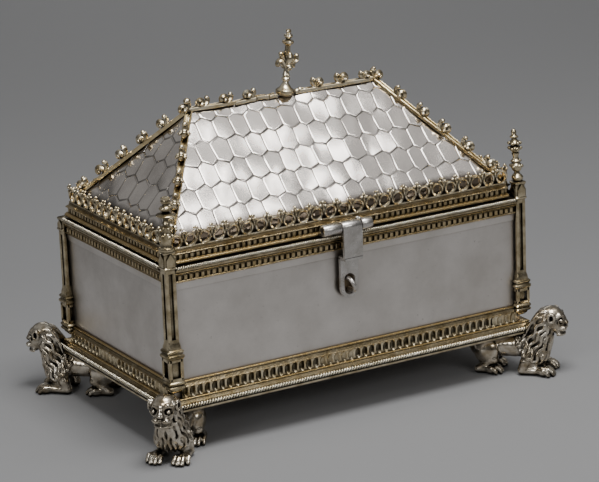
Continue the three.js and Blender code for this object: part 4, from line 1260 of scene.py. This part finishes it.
def hasp():
    left, right = HASP_LOW[0], HASP_HIGH[0]
    front = HINGE[1] - BARREL_RADIUS
    piece = Piece().add(pipe(left, right))
    piece.add(slab(rectangle(left, right, STRAP_Z, HINGE[2]), front, front + SHEET))
    piece.add(slab(rectangle(left + 0.2, right - 0.2, STRAP_Z - 0.9, STRAP_Z + 0.5), front, PLATE_Y))
    half = (right - left) / 2 - 0.2
    plate = half_round(half, HASP_LOW[2] + half, math.pi)
    plate += [(HINGE[0] + half, STRAP_Z), (HINGE[0] - half, STRAP_Z)]
    slot = half_round(SLOT_HALF, SLOT_ENDS[0], math.pi) + half_round(SLOT_HALF, SLOT_ENDS[1], 0)
    piece.add(slab(plate, PLATE_Y - SHEET, PLATE_Y, [slot]))
    piece.finish("hasp_plate", HASP, "hasp", sharp=50.0, body="hasp")


def knuckles():
    for side in ("left", "right"):
        low, high = corners_mm(f"hasp_knuckle_{side}")
        piece = Piece().add(pipe(low[0], high[0]))
        leaf = rectangle(low[0], high[0], HINGE[2] - 2.2, HINGE[2] - 0.9)
        piece.add(slab(leaf, HINGE[1] + 0.8, high[1]))
        if side == "right":
            blob = np.array([low[0] + 1.0, HINGE[1] + 2.6, HINGE[2] + 1.3])
            for i in range(5):
                piece.add(ball(blob + rng.normal(0, 0.45, 3) * (1.2, 0.5, 0.6), (0.9, 0.75, 0.7), 10, 6))
        piece.finish(f"knuckle_{side}", HASP, f"hasp_knuckle_{side}", sharp=50.0)


def pin():
    low, high = corners_mm("hinge_pin")
    path = [(x, HINGE[1], HINGE[2]) for x in np.linspace(low[0], high[0], 4)]
    Piece().add(tube(path, PIN_RADIUS, 20)).finish("pin", HASP, "hinge_pin")


def staple():
    """A bent wire: two legs out of the panel, one higher than the other, and a round bend between."""
    high, low = np.array([HINGE[0] - 0.9, SLOT_MIDDLE + 2.6]), np.array([HINGE[0] + 0.9, SLOT_MIDDLE - 2.5])
    foot, nose = -HALF_Y - 0.3, corners_mm("staple")[0][1] + STAPLE_WIRE
    middle, reach = (high + low) / 2, (high - low) / 2
    deep = np.linalg.norm(reach)
    legs = [[(x, foot + (nose + deep - foot) * t, z) for t in (0, 0.35, 0.7)] for x, z in (high, low)]
    bend = []
    for a in np.linspace(0, math.pi, 13):
        x, z = middle + reach * math.cos(a)
        bend.append((x, nose + deep - deep * math.sin(a), z))
    piece = Piece().add(tube([*legs[0], *bend, *legs[1][::-1]], STAPLE_WIRE, 16))
    piece.finish("staple_wire", HASP, "staple")


# Camera, floor and light
VIEW_AZIMUTH, VIEW_ELEVATION, VIEW_ROLL = -29.8, 16.55, -2.27
FOCAL_PIXELS = 2763.07
PICTURE_WIDTH = 599
SENSOR = 36.0
DISTANCE = 1112.6
AIM = (2.14, 2.01)  # how far the eye is moved to the right and up, across its view
AIM_FROM = np.array([0.55, 0.0, 57.0])
FLOOR_HALF = 3.0
FLOOR_GREY = (0.262, 0.262, 0.265, 1)
# Name, place, size, power, and aim where it isn't the casket
LIGHTS = [
    ("key", (-0.02, -0.20, 0.66), (0.32, 0.26), 3.6),
    ("roof", (0.43, -0.24, 0.86), (0.72, 0.56), 0.56),
    ("roof_core", (0.32, -0.16, 0.84), (0.26, 0.2), 0.06),
    ("spark", tuple(SPARK * MM), (0.10, 0.08), 0.26),
    ("back", (-0.5, 1.1, 0.62), (0.5, 0.25), 0.07),
    ("left", (-0.9, -0.5, 0.5), (0.25, 0.3), 2.0),
    ("front", (0.2, -1.3, 0.75), (0.6, 0.25), 2.9),
    ("far", (0.45, 0.85, 0.5), (0.5, 0.3), 0.74, (0.45, 0.85, 0)),
]


def camera_axes():
    """Right, upward and backward directions of the camera before its roll."""
    a, e = math.radians(VIEW_AZIMUTH), math.radians(VIEW_ELEVATION)
    back = np.array([math.sin(a) * math.cos(e), -math.cos(a) * math.cos(e), math.sin(e)])
    right = unit(np.cross((0, 0, 1.0), back))
    return right, np.cross(back, right), back


def camera_eye():
    right, upward, back = camera_axes()
    return AIM_FROM + right * AIM[0] + upward * AIM[1] + back * DISTANCE


def add_camera():
    data = bpy.data.cameras.new("camera")
    data.sensor_width = SENSOR
    data.lens = FOCAL_PIXELS * SENSOR / PICTURE_WIDTH
    data.clip_start, data.clip_end = 0.05, 20.0
    camera = bpy.data.objects.new("camera", data)
    turn = Matrix(camera_axes()).transposed().to_4x4()
    roll = Matrix.Rotation(math.radians(VIEW_ROLL), 4, "Z")
    camera.matrix_world = Matrix.Translation(Vector(camera_eye()) * MM) @ turn @ roll
    bpy.context.scene.collection.objects.link(camera)
    bpy.context.scene.camera = camera


def add_floor():
    mesh = bpy.data.meshes.new("floor")
    size = FLOOR_HALF
    mesh.from_pydata([(x, y, 0) for x, y in rectangle(-size, size, -size, size)], [], [(0, 1, 2, 3)])
    floor = bpy.data.objects.new("floor", mesh)
    bpy.context.scene.collection.objects.link(floor)
    material = bpy.data.materials.new("floor")
    material.use_nodes = True
    shader = material.node_tree.nodes["Principled BSDF"]
    shader.inputs["Base Color"].default_value = FLOOR_GREY
    shader.inputs["Roughness"].default_value = 0.85
    mesh.materials.append(material)


def add_light(name, place, size, power, aim=(0, 0, 0.06)):
    data = bpy.data.lights.new(name, "AREA")
    data.shape = "RECTANGLE"
    data.size, data.size_y = size
    data.energy = power
    light = bpy.data.objects.new(name, data)
    light.location = place
    light.rotation_euler = (Vector(aim) - Vector(place)).to_track_quat("-Z", "Y").to_euler()
    bpy.context.scene.collection.objects.link(light)


def add_world():
    world = bpy.data.worlds.new("studio")
    bpy.context.scene.world = world
    world.use_nodes = True
    tree = world.node_tree
    height = height_of(tree, node(tree, "ShaderNodeTexCoord").outputs["Generated"])
    background = tree.nodes["Background"]
    background.inputs["Strength"].default_value = 0.5
    tree.links.new(ramp(tree, height, [(0.0, 0.12), (0.35, 0.26), (0.9, 0.6)]), background.inputs["Color"])


add_camera()
add_floor()
add_world()
for row in LIGHTS:
    add_light(*row)

dress_box()
for side in SIDES:
    engrave(side)
for side in SIDES:
    base_trim(side)
    rim_trim(side)
    lid_trim(side)
    crest_trim(side)
for corner in CORNERS:
    hip_crest(corner)
    post(corner)
for name in RIDGE_HALVES:
    ridge_crest(name)
ridge_cross()
lion_shell = lion_mesh()
for corner in CORNERS:
    lion(corner, lion_shell)
hasp()
knuckles()
pin()
staple()
